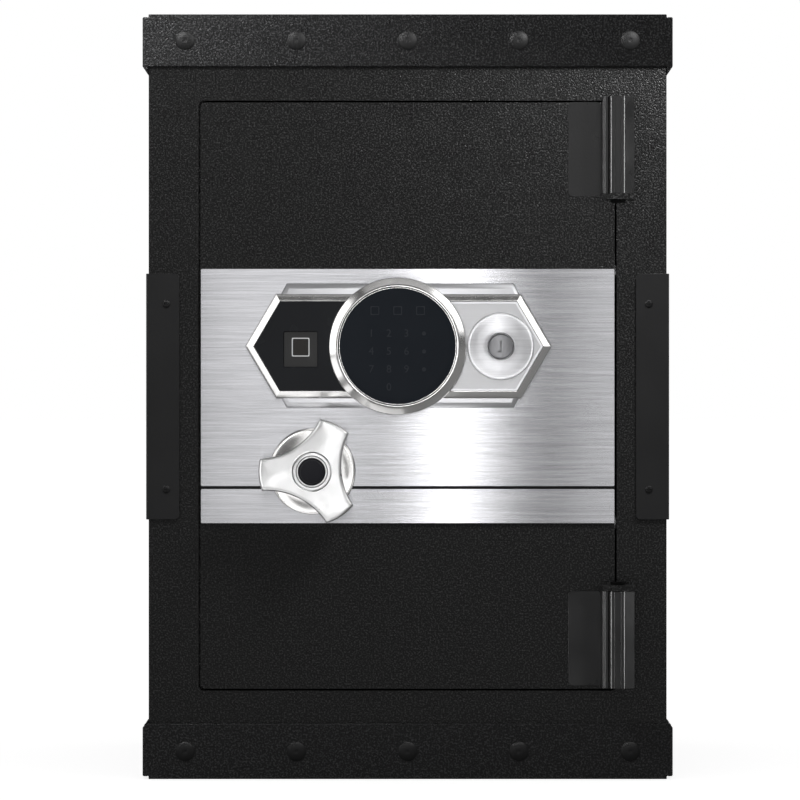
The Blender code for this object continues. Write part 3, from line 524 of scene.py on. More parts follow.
def band_outline(level, x, z):
    """The front plate laps over the side bands' ends; above or below them it keeps its node's width."""
    (side, _), (side_low, side_high) = box_xz(f"{level}_band_left")
    short = 1.4 * MM        # from the side bands' outer faces
    left, right = side + short, x[1] + x[0] - side - short
    near, step, far = z[0], side_high - 0.3 * MM, z[1]
    if level == "bottom":
        near, step, far = z[1], side_low + 0.3 * MM, z[0]
    points = [(left, near), (right, near), (right, step), (x[1], step)]
    return points + [(x[1], far), (x[0], far), (x[0], step), (left, step)]


def make_rivet(name, x, z, base):
    """Low dome with a small dimple in its middle."""
    profile = [(8.3, -0.4), (8.3, 0.1), (8.1, 0.35), (7.6, 0.8), (6.9, 1.25), (6.0, 1.7), (4.9, 2.12)]
    profile += [(3.8, 2.45), (2.7, 2.64), (2.0, 2.68), (1.5, 2.60), (1.1, 2.48), (0.6, 2.42), (0.15, 2.40)]
    wide, tall = 0.92, 0.8
    shape = in_mm([(radius * wide, rise * tall) for radius, rise in profile], base)
    piece(name, turned(shape, (x, z), 48), "safe", "rivet", 50)


def make_brackets():
    """Angle plates folded round the front uprights, each with two countersunk screws."""
    thick, fold = 1.7 * MM, 1.6 * MM
    screw_x, screw_radius = 189.3 * MM, 3.1 * MM
    screw_heights = (227.2 * MM, 372.8 * MM)
    for side, sign in (("left", -1), ("right", 1)):
        node = f"bracket_{side}"
        low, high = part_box(node)
        inner, outer = (high.x, low.x) if sign < 0 else (low.x, high.x)
        front, back = height_of(node), foot_of(node)
        section = [(inner, front - thick), (inner, front)]
        for turn in quarter_turn(4):
            x = outer - sign * fold * (1 - math.sin(turn))
            section.append((x, front - fold * (1 - math.cos(turn))))
        inside = outer - sign * thick
        section += [(outer, back), (inside, back), (inside, front - thick)]
        loops = [[(x, out(d), z) for x, d in section] for z in (low.z, high.z)]
        plate = piece(node + "_folded", loops_to_mesh(loops), "safe", "smooth")
        for z, up in ((low.z, 1), (high.z, -1)):
            carve(plate, corner_cutter(inner, sign, z, up, front))
        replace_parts(bevelled(plate, 0.35 * MM, 2), node)
        for number, z in enumerate(screw_heights):
            name = f"{node}_screw_{number + 1}"
            make_screw(name, sign * screw_x, z, front, screw_radius, "safe", "rivet")


def corner_cutter(inner, sign, z, up, front):
    """The sliver outside a rounded inner corner of a bracket."""
    radius = 3.5 * MM
    past = 1.0 * MM
    arc_x, arc_z = inner + sign * radius, z + up * radius
    outline = [(inner - sign * past, z - up * past), (arc_x, z - up * past)]
    for turn in quarter_turn(8):
        outline.append((arc_x - sign * radius * math.sin(turn), arc_z - up * radius * math.cos(turn)))
    outline.append((inner - sign * past, arc_z))
    return prism(outline, front - 4 * MM, front + 2 * MM)


def make_screw(name, x, z, base, radius, body, look, facing=1):
    """A low screw head with a cross recess; facing -1 points into the safe."""
    profile = [(1.0, -0.3), (1.0, 0.10), (0.92, 0.22), (0.6, 0.34), (0.25, 0.38), (0.02, 0.38)]
    bm = turned([(r * radius, base + facing * h * radius) for r, h in profile], (x, z), 28)
    head = piece(name, bm, body, look, 45)
    half, reach = 0.13 * radius, 0.62 * radius
    ends = sorted(base + facing * depth * radius for depth in (0.16, 0.6))
    for wide, tall in ((half, reach), (reach, half)):
        carve(head, bar((x, z), wide, tall, *ends))


# -------------------- hinges


def make_hinges():
    """Leaf with rounded edges, and a ridged, faceted barrel on the hinge axis."""
    leaf_height = 73.8 * MM
    for level in ("top", "bottom"):
        node = f"hinge_leaf_{level}"
        low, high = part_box(node)
        axis_x, _ = centre(f"hinge_pin_{level}")
        axis_d = (height_of(f"hinge_pin_{level}") + foot_of(f"hinge_pin_{level}")) / 2
        lug_low, lug_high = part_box(f"hinge_lug_{level}")
        half = (lug_high.x - lug_low.x) / 2
        base = foot_of(node)
        if level == "top":
            barrel_z = (lug_high.z + 0.3 * MM, high.z)
            leaf_low = low.z
        else:
            barrel_z = (low.z, lug_low.z - 0.3 * MM)
            leaf_low = low.z + 1.2 * MM
        leaf_x = (low.x, axis_x - half - 0.2 * MM)
        leaf = prism(rounded(leaf_x, (leaf_low, leaf_low + leaf_height), 3.4 * MM, 8), base, base + 4 * MM)
        web_x = (low.x + 18 * MM, axis_x - 2.4 * MM)
        web_z = (barrel_z[0] + 1 * MM, barrel_z[1] - 5 * MM)
        web = prism(rounded(web_x, web_z, 0.5 * MM, 1), base, base + 3.8 * MM)
        section = barrel_section(half)
        loops = [[(axis_x + x, out(axis_d + d), z) for x, d in section] for z in barrel_z]
        made = piece(node + "_cast", leaf, "door", "hinge", 25)
        carve(made, web, "UNION")
        carve(made, loops_to_mesh(loops), "UNION")
        carve(made, bore_cutter(axis_x, axis_d, barrel_z))
        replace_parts(bevelled(made, 0.4 * MM, 2, 28), node)


def bore_cutter(x, distance, z):
    """The pin's bore."""
    section = ring_points((x, distance), 4.3 * MM, 40)
    heights = (z[0] - 5 * MM, z[1] + 5 * MM)
    return loops_to_mesh([[(px, out(d), height) for px, d in section] for height in heights])


def barrel_section(half):
    """Octagon with a ridge rounded outwards at each side of its front, and steps down its left flank."""
    cut = half * math.tan(math.pi / 8)
    rise = 1.1 * MM
    base = half - rise
    radius = 1.8 * MM
    left, right = -cut - 1.4 * MM, cut
    arc = [(radius * (1 - math.cos(turn)), base + rise * math.sin(turn)) for turn in quarter_turn(5)]
    section = [(left + x, d) for x, d in arc]
    section += [(left + 3.3 * MM, base + rise), (left + 3.5 * MM, base)]
    section += [(right - 3.5 * MM, base), (right - 3.3 * MM, base + rise)]
    section += [(right - x, d) for x, d in reversed(arc)]
    section += [(half, cut), (half, -cut), (cut, -half), (-cut, -half), (-half, -cut)]
    section.append((-half, cut - 0.6 * MM))
    for step_x, step_d in ((0.4, 1.2), (2.4, 1.7), (2.6, 3.2), (4.4, 3.3), (5.0, 1.9)):
        section.append((-half + step_x * MM, cut + step_d * MM))
    section.append((-cut - 1.6 * MM, base - 0.9 * MM))
    return section


# -------------------- lock unit


KEYPAD_CUT = 53.9 * MM      # round cut-outs that clear the keypad's ring


def hexagon(inset):
    """The bezel's long hexagon, drawn in by inset; its tips lie 24 mm past the corners."""
    (left, right), (low, high) = box_xz("lock_bezel")
    middle, half = (low + high) / 2, (high - low) / 2
    run = 24 * MM
    shift = inset * math.hypot(run, half) / half
    rise = half - inset
    back = run * rise / half
    return [
        (right - shift, middle),
        (right - shift - back, middle + rise),
        (left + shift + back, middle + rise),
        (left + shift, middle),
        (left + shift + back, middle - rise),
        (right - shift - back, middle - rise),
    ]


def make_bezel():
    """Raised hexagonal frame: a narrow outer facet, a wide polished slope and an inner wall."""
    low = foot_of("lock_bezel")
    crease = 14
    profile = [(0.0, 0.0), (0.0, 2.6), (0.25, 3.0), (1.2, 3.9), (1.45, 4.1), (5.0, 6.1), (5.25, 6.2)]
    profile += [(5.55, 6.1), (5.7, 5.6), (5.7, 0.0)]
    loops = [raised(hexagon(inset), distance) for inset, distance in in_mm(profile, low)]
    bezel = piece("bezel_frame", loops_to_mesh(loops, ring=True), "door", "chrome", crease)
    radius = 53.75 * MM
    gap = turned([(radius, low + 1.4 * MM), (radius, low + 20 * MM)], centre("keypad_ring"), 96)
    carve(bezel, gap)
    bezel.data.set_sharp_from_angle(angle=math.radians(crease))
    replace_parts(bezel, "lock_bezel")


def make_lock_base():
    """Cast slab under the bezel with long sloping shoulders."""
    low, high = foot_of("lock_base"), height_of("lock_base")
    rise = high - low
    loops = []
    for inset, share in ((0.0, 0.0), (0.0, 0.15), (0.5, 0.32), (3.9, 0.97), (4.4, 1.0)):
        loops.append(raised(slab_outline(inset * MM), low + rise * share))
    base = piece("lock_slab", loops_to_mesh(loops), "door", "silver", 20)
    bore(base, "key_rosette", 7.2 * MM, (low - 2 * MM, high + 2 * MM), 40)
    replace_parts(base, "lock_base")


def bore(obj, node, radius, ends, segments=96):
    """A round hole on the middle of a node."""
    carve(obj, turned([(radius, ends[0]), (radius, ends[1])], centre(node), segments))


def slab_outline(inset):
    """The slab's own outline: broad top and bottom edges with cut corners."""
    (left, right), (low, high) = box_xz("lock_base")
    middle, half = (low + high) / 2, (high - low) / 2
    corner_left, corner_right = -94.8 * MM + inset * 0.5, 83.4 * MM - inset * 0.5
    rise = half - inset
    tip = inset * 1.2
    return [
        (right - tip, middle),
        (corner_right, middle + rise),
        (corner_left, middle + rise),
        (left + tip, middle),
        (corner_left, middle - rise),
        (corner_right, middle - rise),
    ]


def inlay_outline(side, inset):
    """Half of the hexagon inside the bezel, cut off under the keypad; side is -1 left, 1 right."""
    points = hexagon(inset)
    top, bottom = points[1][1], points[5][1]
    cut = centre("keypad_ring")[0] + side * 20 * MM
    if side > 0:
        return [(cut, bottom), points[5], points[0], points[1], (cut, top)]
    return [(cut, top), points[2], points[3], points[4], (cut, bottom)]


def make_inlays():
    """Gloss black sensor panel with its pocket, and the silver key panel with a raised lip."""
    inset = 5.8 * MM
    base, front = foot_of("sensor_panel"), height_of("sensor_panel")
    through = (base - MM, front + MM)
    panel = prism(inlay_outline(-1, inset), base, front)
    panel = piece("sensor_inlay", panel, "door", "gloss")
    bore(panel, "keypad_ring", KEYPAD_CUT, through)
    x, z = box_xz("fingerprint_sensor")
    floor = foot_of("fingerprint_sensor") - 0.3 * MM
    pocket = (x[0] - 6.4 * MM, x[1] + 6.4 * MM), (z[0] - 8.3 * MM, z[1] + 4.9 * MM)
    carve(panel, prism(rounded(*pocket, 1.2 * MM), floor, front + MM))
    bed = rounded(*grown(*pocket, -0.2 * MM), 1.0 * MM)
    bed = prism(bed, floor + 0.05 * MM, floor + 0.35 * MM)
    bevelled(piece("sensor_bed", bed, "door", "pocket"), 0.1 * MM, 1)
    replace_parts(bevelled(panel, 0.45 * MM), "sensor_panel")
    make_sensor(x, z, floor)

    panel = prism(inlay_outline(1, inset), base, front - 0.6 * MM)
    panel = piece("key_inlay", panel, "door", "inlay")
    bore(panel, "keypad_ring", KEYPAD_CUT, through)
    bore(panel, "key_rosette", 10.5 * MM, through, 48)
    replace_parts(bevelled(panel, 0.3 * MM), "key_panel")
    lip = piece("key_inlay_lip", lip_frame(base, front), "door", "silver")
    bore(lip, "keypad_ring", KEYPAD_CUT, through)
    bevelled(lip, 0.25 * MM)


def lip_frame(base, front):
    """A narrow raised rim that follows the key panel's straight edges."""
    outer, inner = inlay_outline(1, 5.9 * MM), inlay_outline(1, 7.6 * MM)
    levels = ((outer, base), (outer, front), (inner, front), (inner, base))
    return loops_to_mesh([raised(outline, distance) for outline, distance in levels], ring=True)


def make_sensor(x, z, floor):
    """Scanner window in a dark groove, inside a thin white square."""
    outline = rounded(*grown(x, z, -1.5 * MM), 0.5 * MM)
    window = prism(outline, floor + 0.3 * MM, floor + 1.3 * MM)
    window = piece("sensor_glass", window, "door", "sensor")
    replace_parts(bevelled(window, 0.25 * MM), "fingerprint_sensor")
    rings = []
    for inset, distance in in_mm(((0.0, 0.1), (0.0, 1.2), (0.7, 1.2), (0.7, 0.1)), floor):
        rings.append(raised(rounded(*grown(x, z, -inset), 0.9 * MM), distance))
    # The white square glows: a painted highlight, not a lamp.
    piece("sensor_square", loops_to_mesh(rings, ring=True), "door", "mark")


def make_keypad():
    """Faceted ring and crowned glass."""
    at = centre("keypad_ring")
    low, front = foot_of("keypad_ring") / MM, height_of("keypad_ring") / MM
    profile = [(8.2, low), (53.3, low), (53.5, low + 0.3), (53.5, 17.6), (53.2, 18.2), (49.2, 21.2)]
    profile += [(48.6, 21.7), (47.9, 22.3), (47.3, front), (46.9, front), (46.5, 22.7), (46.2, 21.9)]
    profile += [(45.75, 21.3), (45.75, 18.0), (8.2, 18.0)]
    ring = turned(in_mm(profile), at, 128, ring=True)
    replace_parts(piece("keypad_rim", ring, "door", "chrome", 16), "keypad_ring")
    pane = [(0.3, 18.3), (45.3, 18.3), (45.4, 18.6), (45.4, 20.4), (45.2, 20.7), (44.6, 20.95)]
    pane += [(40, 21.0), (20, 21.05), (0.3, 21.08)]
    glass = turned(in_mm(pane), at, 96)
    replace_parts(piece("keypad_pane", glass, "door", "glass", 30), "keypad_glass")
    make_key_marks(at, 21.06 * MM)


def make_key_marks(at, face):
    """Faint generic marks on the glass: digits, three dots and three squares."""
    pitch_x, pitch_z = 13.7 * MM, 14.0 * MM
    thin = 0.05 * MM
    for row, marks in enumerate(("123", "456", "789", "0")):
        first = -0.5 if len(marks) == 1 else -1.5
        for column, mark in enumerate(marks):
            place = (at[0] + (column + first) * pitch_x, at[1] + (0.7 - row) * pitch_z)
            glyph(f"key_{mark}", mark, place, face)
    for row in range(3):
        dot = (at[0] + 1.5 * pitch_x, at[1] + (0.7 - row) * pitch_z)
        dot = prism(ring_points(dot, 1.6 * MM), face, face + thin)
        piece(f"key_dot_{row + 1}", dot, "door", "key_mark")
    for column, name in enumerate(("left", "middle", "right")):
        x, z = at[0] + (column - 1) * 17.8 * MM, at[1] + 27.7 * MM
        loops = []
        for half, distance in ((3.4 * MM, 0.0), (3.4 * MM, thin), (2.7 * MM, thin), (2.7 * MM, 0.0)):
            outline = rounded((x - half, x + half), (z - half, z + half), 0.6 * MM, 3)
            loops.append(raised(outline, face + distance))
        window = loops_to_mesh(loops, ring=True)
        piece(f"status_window_{name}", window, "door", "key_mark")


def glyph(name, text, at, distance):
    """A printed digit: Blender's own font, turned into a thin mesh on the glass."""
    curve = bpy.data.curves.new(name, "FONT")
    curve.body = text
    curve.size = 8.5 * MM
    curve.align_x = "CENTER"
    curve.align_y = "CENTER"
    curve.extrude = 0.03 * MM
    curve.resolution_u = 3
    writer = bpy.data.objects.new(name + "_text", curve)
    bpy.context.scene.collection.objects.link(writer)
    bpy.context.view_layer.update()
    graph = bpy.context.evaluated_depsgraph_get()
    flat = bpy.data.meshes.new_from_object(writer.evaluated_get(graph))
    bpy.data.objects.remove(writer)
    bm = bmesh.new()
    bm.from_mesh(flat)
    for vert in bm.verts:
        x, z, d = vert.co
        vert.co = Vector((at[0] + x, out(distance + d), at[1] + z))
    bmesh.ops.remove_doubles(bm, verts=bm.verts, dist=1e-6)
    piece(name, bm, "door", "key_mark")


def make_key_lock():
    """Domed rosette with a rolled rim, and the turning plug with its keyway."""
    at = centre("key_rosette")
    profile = [(10.6, 0.0), (25.9, 0.0), (26.2, 0.3), (26.2, 2.4), (25.9, 3.1), (25.2, 3.4), (24.5, 3.3)]
    profile += [(23.9, 3.4), (21.0, 4.2), (17.5, 4.95), (14.0, 5.5), (12.4, 5.8), (11.4, 6.15), (10.9, 6.0)]
    profile += [(10.6, 5.5)]
    dome = turned(in_mm(profile, foot_of("key_rosette")), at, 96, ring=True)
    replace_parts(piece("rosette_dome", dome, "door", "rosette", 30), "key_rosette")

    front, tail = height_of("key_plug"), foot_of("key_plug")
    core = in_mm([(0.2, 3.0), (5.8, 3.0), (6.0, 3.3)], tail)
    core += in_mm([(6.0, 7.5), (9.7, 7.5), (9.8, 7.8)])
    core += in_mm([(9.8, -0.9), (9.3, -0.3), (8.7, 0.0), (0.2, 0.0)], front)
    cam = rounded((at[0] - 4 * MM, at[0] + 4 * MM), (at[1] - 20 * MM, at[1] + 6 * MM), 2 * MM)
    whole = joined(turned(core, at, 64), prism(cam, tail, tail + 3 * MM))
    plug = piece("plug_core", whole, "key_plug", "plug", 30)
    keyway = [(-0.6, 4.3), (-0.6, -3.3), (-2.0, -3.3), (-2.0, -4.7), (0.8, -4.7), (0.8, 4.3)]
    outline = [(at[0] + x * MM, at[1] + z * MM) for x, z in keyway]
    carve(plug, prism(outline, front - 7 * MM, front + MM))
    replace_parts(plug, "key_plug")


# -------------------- knob


# Distances from the knob's axis, and angles seen from the front.
KNOB_TIP = 41.5 * MM
KNOB_WAIST = 23.1 * MM
HUB = 15.6 * MM
TIP_HALF_ANGLE = math.radians(17.5)
FIRST_SPOKE = math.radians(63.5)


def knob_outline(arc_steps=14, dip_steps=34):
    """Three spokes with arc ends, round the origin; between them one arc dips to the waist."""
    half = math.pi / 3 - TIP_HALF_ANGLE
    far = (KNOB_TIP ** 2 - KNOB_WAIST ** 2) / (2 * (KNOB_TIP * math.cos(half) - KNOB_WAIST))
    radius = far - KNOB_WAIST
    sweep = math.asin(KNOB_TIP * math.sin(half) / radius)
    points = []
    for spoke in range(3):
        middle = FIRST_SPOKE + spoke * 2 * math.pi / 3
        for step in range(arc_steps + 1):
            angle = middle + TIP_HALF_ANGLE * (2 * step / arc_steps - 1)
            points.append(Vector((KNOB_TIP * math.cos(angle), KNOB_TIP * math.sin(angle))))
        valley = middle + math.pi / 3
        for step in range(1, dip_steps):
            turn = valley + math.pi + sweep * (1 - 2 * step / dip_steps)
            points.append(Vector((
                far * math.cos(valley) + radius * math.cos(turn),
                far * math.sin(valley) + radius * math.sin(turn),
            )))
    return points


def edge_distance(point, outline):
    """Distance from a point to a closed outline."""
    best = 1.0
    for first, second in zip(outline, outline[1:] + outline[:1]):
        along = second - first
        share = max(0.0, min(1.0, (point - first).dot(along) / along.length_squared))
        best = min(best, (first + along * share - point).length)
    return best


def make_knob():
    """Cast knob: crowned spokes that roll over into steep sides, and a dished hub."""
    at = Vector(centre("knob_base"))
    low, top = foot_of("knob"), height_of("knob")
    outline = knob_outline()
    roll, crown = 2.6 * MM, 13 * MM

    def height(distance):
        rise = top - 1.6 * MM
        if distance < roll:
            share = 1 - distance / roll
            rise -= 2.2 * MM * (1 - math.sqrt(1 - share * share))
        return rise + 1.5 * MM * min(1.0, distance / crown) ** 0.8

    def loop(points, distances):
        return [(at.x + p.x, out(d), at.y + p.y) for p, d in zip(points, distances)]

    count = len(outline)
    sides = ((0.90, low), (0.955, low + 0.2 * MM), (0.965, low + 1.2 * MM), (0.985, top - 8.5 * MM))
    loops = [loop([p * share for p in outline], [distance] * count) for share, distance in sides]
    loops.append(loop(outline, [height(0)] * count))
    for share in (0.985, 0.965, 0.94, 0.91, 0.87, 0.81, 0.73, 0.64, 0.54, 0.43, 0.32, 0.20, 0.10, 0.0):
        points = [p.normalized() * (HUB + (p.length - HUB) * share) for p in outline]
        loops.append(loop(points, [height(edge_distance(p, outline)) for p in points]))
    dish = [(15.0, -0.8), (14.5, -1.15), (13.9, -0.95), (12.6, -0.9), (12.0, -1.3), (11.8, -2.0)]
    for radius, distance in in_mm(dish + [(11.8, -2.6)], top):
        loops.append(loop([p.normalized() * radius for p in outline], [distance] * count))
    knob = piece("knob_casting", loops_to_mesh(loops), "knob", "knob", 32)
    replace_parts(knob, "knob")
    make_knob_cap(tuple(at), top)


def make_knob_cap(at, top):
    """Black button with a domed face in the knob's hub."""
    profile = [(0.2, -0.9), (10.7, -0.9), (10.8, -0.7), (10.8, 1.0), (10.5, 1.6), (10.0, 2.0), (9.4, 2.15)]
    shape = in_mm(profile, top)
    shape += in_mm([(9.0, -1.0), (8.4, -0.4), (6.5, -0.1), (0.2, 0.0)], height_of("knob_cap"))
    cap = piece("knob_button", turned(shape, at, 64), "knob", "cap", 30)
    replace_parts(cap, "knob_cap")


def make_knob_base():
    """Turned disc under the knob: rolled rim, a groove and a low shoulder."""
    profile = [(5.6, 0.0), (33.4, 0.0), (33.8, 0.4), (33.8, 3.6), (33.4, 4.3), (32.6, 4.65), (31.9, 4.5)]
    profile += [(31.3, 4.5), (27.0, 5.6), (22.0, 6.6), (5.6, 7.0)]
    disc = turned(in_mm(profile, foot_of("knob_base")), centre("knob_base"), 112, ring=True)
    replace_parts(piece("knob_rose", disc, "door", "chrome", 24), "knob_base")


# -------------------- inside


def make_inside():
    """Shelf mat, cover screws, pressed ribs in the cover, and the battery lid."""
    low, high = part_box("shelf")
    x, y = grown((low.x, high.x), (low.y, high.y), -3 * MM)
    mat = slab(x, y, (high.z - 0.1 * MM, high.z + 2.2 * MM))
    bevelled(piece("shelf_mat", mat, "safe", "felt"), 0.8 * MM)
    make_cover_details()
    make_battery_lid()


def make_cover_details():
    """Six screws and three pressed ribs on the cover inside the door."""
    x, z = box_xz("inner_cover")
    back = foot_of("inner_cover")
    middle_x, middle_z = centre("inner_cover")
    screws_x, screws_z = grown(x, z, -9 * MM)
    spots = [(px, pz) for px in screws_x for pz in (screws_z[0], middle_z, screws_z[1])]
    for number, (px, pz) in enumerate(spots):
        name = f"cover_screw_{number + 1}"
        make_screw(name, px, pz, back, 3.6 * MM, "door", "steel", -1)
    for number in range(3):
        height = middle_z + (number * 26 + 30) * MM
        rib_x, rib_z = (middle_x - 60 * MM, middle_x + 90 * MM), (height - 4 * MM, height + 4 * MM)
        rib = rounded(rib_x, rib_z, 3.9 * MM, 8)
        inner = rounded(*grown(rib_x, rib_z, -1.4 * MM), 2.5 * MM, 8)
        levels = ((rib, -0.2), (rib, 0.05), (inner, 1.3))
        loops = [raised(outline, back - rise * MM) for outline, rise in levels]
        piece(f"cover_rib_{number + 1}", loops_to_mesh(loops), "door", "smooth")


def make_battery_lid():
    """Sliding lid with a recessed thumb pad full of ribs."""
    low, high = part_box("battery_lid")
    inner, outer = foot_of("battery_lid"), height_of("battery_lid")
    face = inner + 2.2 * MM
    outline = rounded((low.x, high.x), (low.z, high.z), 3 * MM)
    lid = piece("lid_shell", prism(outline, face, outer), "battery_lid", "plastic")
    middle = (low.x + high.x) / 2
    grip = (middle - 16 * MM, middle + 16 * MM)
    pad = rounded(grip, (high.z - 22 * MM, high.z - 5 * MM), 2 * MM)
    carve(lid, prism(pad, face - MM, face + 0.7 * MM))
    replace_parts(bevelled(lid, 0.5 * MM), "battery_lid")
    for number in range(5):
        z = high.z - (7.5 + 3 * number) * MM
        rib = rounded((grip[0] + 2 * MM, grip[1] - 2 * MM), (z - 0.7 * MM, z + 0.7 * MM), 0.6 * MM, 3)
        rib = prism(rib, inner + 0.2 * MM, face + 0.9 * MM)
        rib = piece(f"lid_rib_{number + 1}", rib, "battery_lid", "plastic")
        bevelled(rib, 0.25 * MM, 2)


SOFTENED = (
    (0.35 * MM, 2, ("panel_upper", "panel_lower")),
    (0.8 * MM, 3, ("front_frame", "roof_plate", "side_wall_left", "side_wall_right")),
    (0.8 * MM, 3, ("floor_plate", "back_wall")),
    (0.4 * MM, 2, SIDE_BANDS),
    (0.4 * MM, 2, ("door_plate", "shelf", "boltwork_frame", "inner_cover", *HINGE_LUGS)),
    (0.25 * MM, 2, ("solenoid_body", "circuit_board", "battery_case", "bolt_carriage", "drive_cam")),
)


def soften_frame():
    """Small rounds on the CAD nodes that stay, so that their edges catch the light."""
    for width, segments, nodes in SOFTENED:
        for node in nodes:
            soften(node, width, segments)


# -------------------- stage


def make_floor():
    """A wide plane just under the safe."""
    bm = bmesh.new()
    bmesh.ops.create_grid(bm, x_segments=4, y_segments=4, size=60.0)
    floor = piece("studio_floor", bm, None, "floor")
    floor.location.z = CAD_BOX[0].z - 0.2 * MM


def floor_look():
    """Pale and matt; the camera sees it as bright as the world, and nothing mirrors its glow."""
    made = Nodes("pale_floor")
    made.shade(made.noise(3.0, 2.0), (0.84, 0.84, 0.84), (0.86, 0.86, 0.86))
    made.set(Roughness=0.9, Specular_IOR_Level=0.1, Emission_Color=(1, 1, 1, 1))
    made.link(camera_level(made.tree, others=0.0, camera=0.84), made.shader.inputs["Emission Strength"])
    return made.material


def aim(obj, target):
    """Turns a lamp so that it shines at a point."""
    obj.rotation_euler = (Vector(target) - obj.location).to_track_quat("-Z", "Y").to_euler()


# The looks that each group of lights reaches.
GROUPS = {
    "inside": ("paint", "felt", "plastic", "board", "cells", "red", "brass"),
    "brushed": ("stainless",),
    "polished": ("silver", "inlay", "rosette", "chrome", "knob", "bolt", "steel", "plug"),
    "hinges": ("hinge",),
    "bands": ("band", "rivet"),
    "face_gloss": ("face", "band"),
    "faces": ("face", "smooth", "rivet"),
    "walls": ("paint", "band", "smooth"),
    "slab": ("silver",),
    "plates": ("smooth", "rivet", "hinge"),
    "blacks": ("gloss", "cap", "glass", "sensor", "pocket", "key_mark"),
    "painted": ("paint", "face", "band", "smooth", "rivet", "felt", "plastic"),
}


def receivers(*groups):
    """A collection of the shown pieces whose look is in these groups."""
    looks = {LOOKS[look] for group in groups for look in GROUPS[group]}
    lit = bpy.data.collections.new("lit_" + "_".join(groups))
    for obj in bpy.context.scene.objects:
        if obj.type == "MESH" and obj.data.materials and obj.data.materials[0] in looks:
            lit.objects.link(obj)
    return lit


def all_but_hinges():
    """What shades the right key light: it is so small that the hinges' shadows would be too long."""
    blockers = bpy.data.collections.new("blockers")
    for obj in bpy.context.scene.objects:
        if obj.type == "MESH" and not obj.name.startswith("hinge_"):
            blockers.objects.link(obj)
    return blockers


def soft_box(name, place, target, size, radiance, groups, shows="gloss"):
    """An area light that the camera doesn't see; radiance is how bright its face is.

    It lights only the pieces of its groups: in their gloss, in their matt part, or in both."""
    light = bpy.data.lights.new(name, "AREA")
    light.shape = "RECTANGLE"
    light.size, light.size_y = size
    light.energy = radiance * math.pi * size[0] * size[1]
    box = bpy.data.objects.new(name, light)
    box.location = place
    box.visible_camera = False
    box.visible_diffuse = shows != "gloss"
    box.visible_glossy = shows != "matt"
    box.light_linking.receiver_collection = receivers(*groups)
    bpy.context.scene.collection.objects.link(box)
    aim(box, target)
    return box


MIDDLE = (0, FACE, 0.34)
# Upright strips that the brushed panel mirrors: name, x, width, radiance.
STRIPS = (
    ("left", -0.125, 0.2, 1.2),
    ("left_core", -0.140, 0.07, 0.8),
    ("middle", 0.0425, 0.045, 6.0),
    ("shoulder", 0.083, 0.036, 1.0),
    ("right", 0.245, 0.16, 0.95),
)
# Each row holds the arguments of soft_box.
REFLECTED_BOXES = (
    ("side_left", (-1.45, -0.8, 0.85), MIDDLE, (1.1, 1.5), 1.7, ("polished",)),
    ("side_left_soft", (-1.45, -0.8, 0.85), MIDDLE, (1.1, 1.5), 0.9, ("painted",)),
    ("high_right", (1.2, -0.85, 1.05), MIDDLE, (1.0, 0.8), 2.0, ("polished",)),
    ("low_left", (-0.57, -0.5, 0.06), MIDDLE, (0.5, 0.35), 1.2, ("polished",)),
    ("upper_right", (0.87, -0.55, 1.29), (0, FACE, 0.38), (0.6, 0.5), 1.7, ("polished",)),
    ("ledge_glow", (0, -0.205, 0.02), (0, -0.205, 1.0), (0.32, 0.05), 4.0, ("slab",)),
    ("low_front", (0, -0.8, 0.04), MIDDLE, (1.2, 0.25), 1.3, ("polished",)),
    ("high_front", (0, -1.3, 1.0), MIDDLE, (1.2, 0.35), 0.35, ("polished",)),
    ("overhead", (0, -0.4, 1.5), (0, -0.4, 0), (1.4, 0.25), 0.42, ("polished",)),
    ("floor_glow", (-0.2, -0.34, 0.03), (-0.2, -0.34, 1.0), (0.44, 0.17), 0.95, ("polished",)),
)
RIGHT_KEY = ("key_right", (0.34, -0.47, 0.8), (0.15, FACE, 0.5), (0.18, 0.18), 31.0, ("faces",), "both")
PAINT_BOXES = (
    ("key_left", (-0.34, -0.47, 0.8), (-0.15, FACE, 0.55), (0.18, 0.18), 5.0, ("faces",), "both"),
    ("band_left", (-0.27, -1.15, 0.7), (-0.2, FACE, 0.6), (0.35, 0.3), 0.6, ("bands",)),
    ("key_band", (-0.35, -0.47, 0.85), (-0.1, FACE, 0.58), (0.15, 0.15), 40.0, ("bands",), "both"),
    ("leaf_glow", (0.25, -1.15, 0.7), (0.17, FACE, 0.5), (0.35, 0.45), 1.4, ("hinges",)),
    ("ridge_left", (-0.754, -0.94, 0.3), (0.165, FACE, 0.3), (0.5, 1.0), 34.0, ("hinges",)),
    ("ridge_right", (1.085, -0.94, 0.3), (0.165, FACE, 0.3), (0.5, 1.0), 34.0, ("hinges",)),
    ("lower_soft", (0, -1.15, 0.13), (0, FACE, 0.2), (1.4, 0.26), 0.26, ("face_gloss",)),
    ("left_soft", (-0.3, -1.15, 0.62), (-0.2, FACE, 0.5), (0.3, 0.5), 0.4, ("face_gloss",)),
    ("front_plates", (-0.3, -2.0, 0.7), MIDDLE, (1.2, 1.2), 3.0, ("plates",), "matt"),
    ("front_blacks", (-0.3, -2.0, 0.7), MIDDLE, (1.2, 1.2), 6.2, ("blacks",), "matt"),
)
# Boxes beside, behind and above the safe, for the views from there: name, place, matt radiance.
ROOM = (
    ("right", (1.8, 0.3, 0.8), 9.0),
    ("left", (-1.8, 0.3, 0.8), 7.0),
    ("back", (-0.4, 2.2, 0.9), 9.0),
    ("roof", (0.3, 0.3, 2.2), 7.0),
)


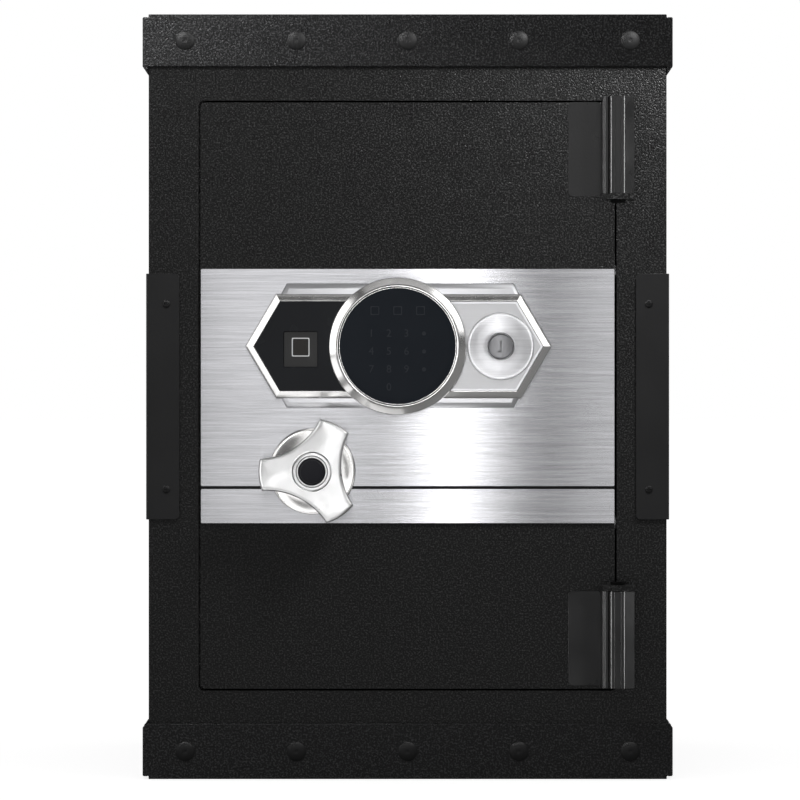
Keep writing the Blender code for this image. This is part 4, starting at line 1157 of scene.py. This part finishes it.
def make_lights():
    """Boxes for the metal, then for the paint, then for the other sides, and a faint sun above."""
    depth, height = -1.15, 0.78
    for name, x, width, radiance in STRIPS:
        place, target = (x, depth, height), (x, FACE, height)
        soft_box(f"strip_{name}", place, target, (width, 1.5), radiance, ("brushed", "polished"))
    for row in REFLECTED_BOXES:
        soft_box(*row)
    soft_box(*RIGHT_KEY).light_linking.blocker_collection = all_but_hinges()
    for row in PAINT_BOXES:
        soft_box(*row)
    make_room()
    sun = bpy.data.lights.new("ceiling", "SUN")
    sun.energy = 0.42
    sun.angle = math.radians(60)
    lamp = bpy.data.objects.new("ceiling", sun)
    lamp.rotation_euler = (math.radians(12), 0, 0)
    lamp.visible_glossy = False
    bpy.context.scene.collection.objects.link(lamp)


def make_room():
    """The room's boxes, two low ones for the brushed panel, and a fill for the inside."""
    middle = (0, 0, 0.35)
    for name, place, radiance in ROOM:
        soft_box(f"{name}_matt", place, middle, (1.3, 1.3), radiance, ("walls",), "matt")
        soft_box(f"{name}_gloss", place, middle, (1.3, 1.3), 0.8, ("walls",))
    for name, x in (("floor_1", -0.49), ("floor_3", 0.49)):
        soft_box(name, (x, -0.87, 0.03), (0, FACE, 0.35), (0.6, 0.6), 1.0, ("brushed",))
    soft_box("fill", (0.1, -1.2, 0.75), middle, (0.8, 0.8), 9.0, ("inside",), "matt")


def camera_level(tree, others, camera):
    """A value that is one thing for what the camera sees and another for what surfaces mirror."""
    path = tree.nodes.new("ShaderNodeLightPath")
    level = tree.nodes.new("ShaderNodeMapRange")
    level.inputs["To Min"].default_value = others
    level.inputs["To Max"].default_value = camera
    tree.links.new(path.outputs["Is Camera Ray"], level.inputs["Value"])
    return level.outputs["Result"]


def make_world():
    """White behind the object, and a dim grey for what its surfaces mirror."""
    world = bpy.data.worlds.new("studio")
    world.use_nodes = True
    tree = world.node_tree
    background = tree.nodes["Background"]
    background.inputs["Color"].default_value = (1, 1, 1, 1)
    tree.links.new(camera_level(tree, others=0.11, camera=1.0), background.inputs["Strength"])
    bpy.context.scene.world = world


def make_camera():
    """A long lens square on to the door, level with the middle of the safe."""
    away = 3.5
    lens = bpy.data.cameras.new("camera")
    lens.sensor_width = 36.0
    lens.lens = 200.6
    camera = bpy.data.objects.new("camera", lens)
    camera.location = (-6 * MM, out(away), 297.4 * MM)
    camera.rotation_euler = (math.pi / 2, 0, 0)
    bpy.context.scene.collection.objects.link(camera)
    bpy.context.scene.camera = camera


def main():
    LOOKS["floor"] = floor_look()
    dress_frame()
    soften_frame()
    make_bands()
    make_brackets()
    make_hinges()
    make_lock_base()
    make_bezel()
    make_inlays()
    make_keypad()
    make_key_lock()
    make_knob_base()
    make_knob()
    make_inside()
    make_floor()
    make_lights()
    make_world()
    make_camera()
    bpy.context.scene.view_settings.view_transform = "Standard"


main()
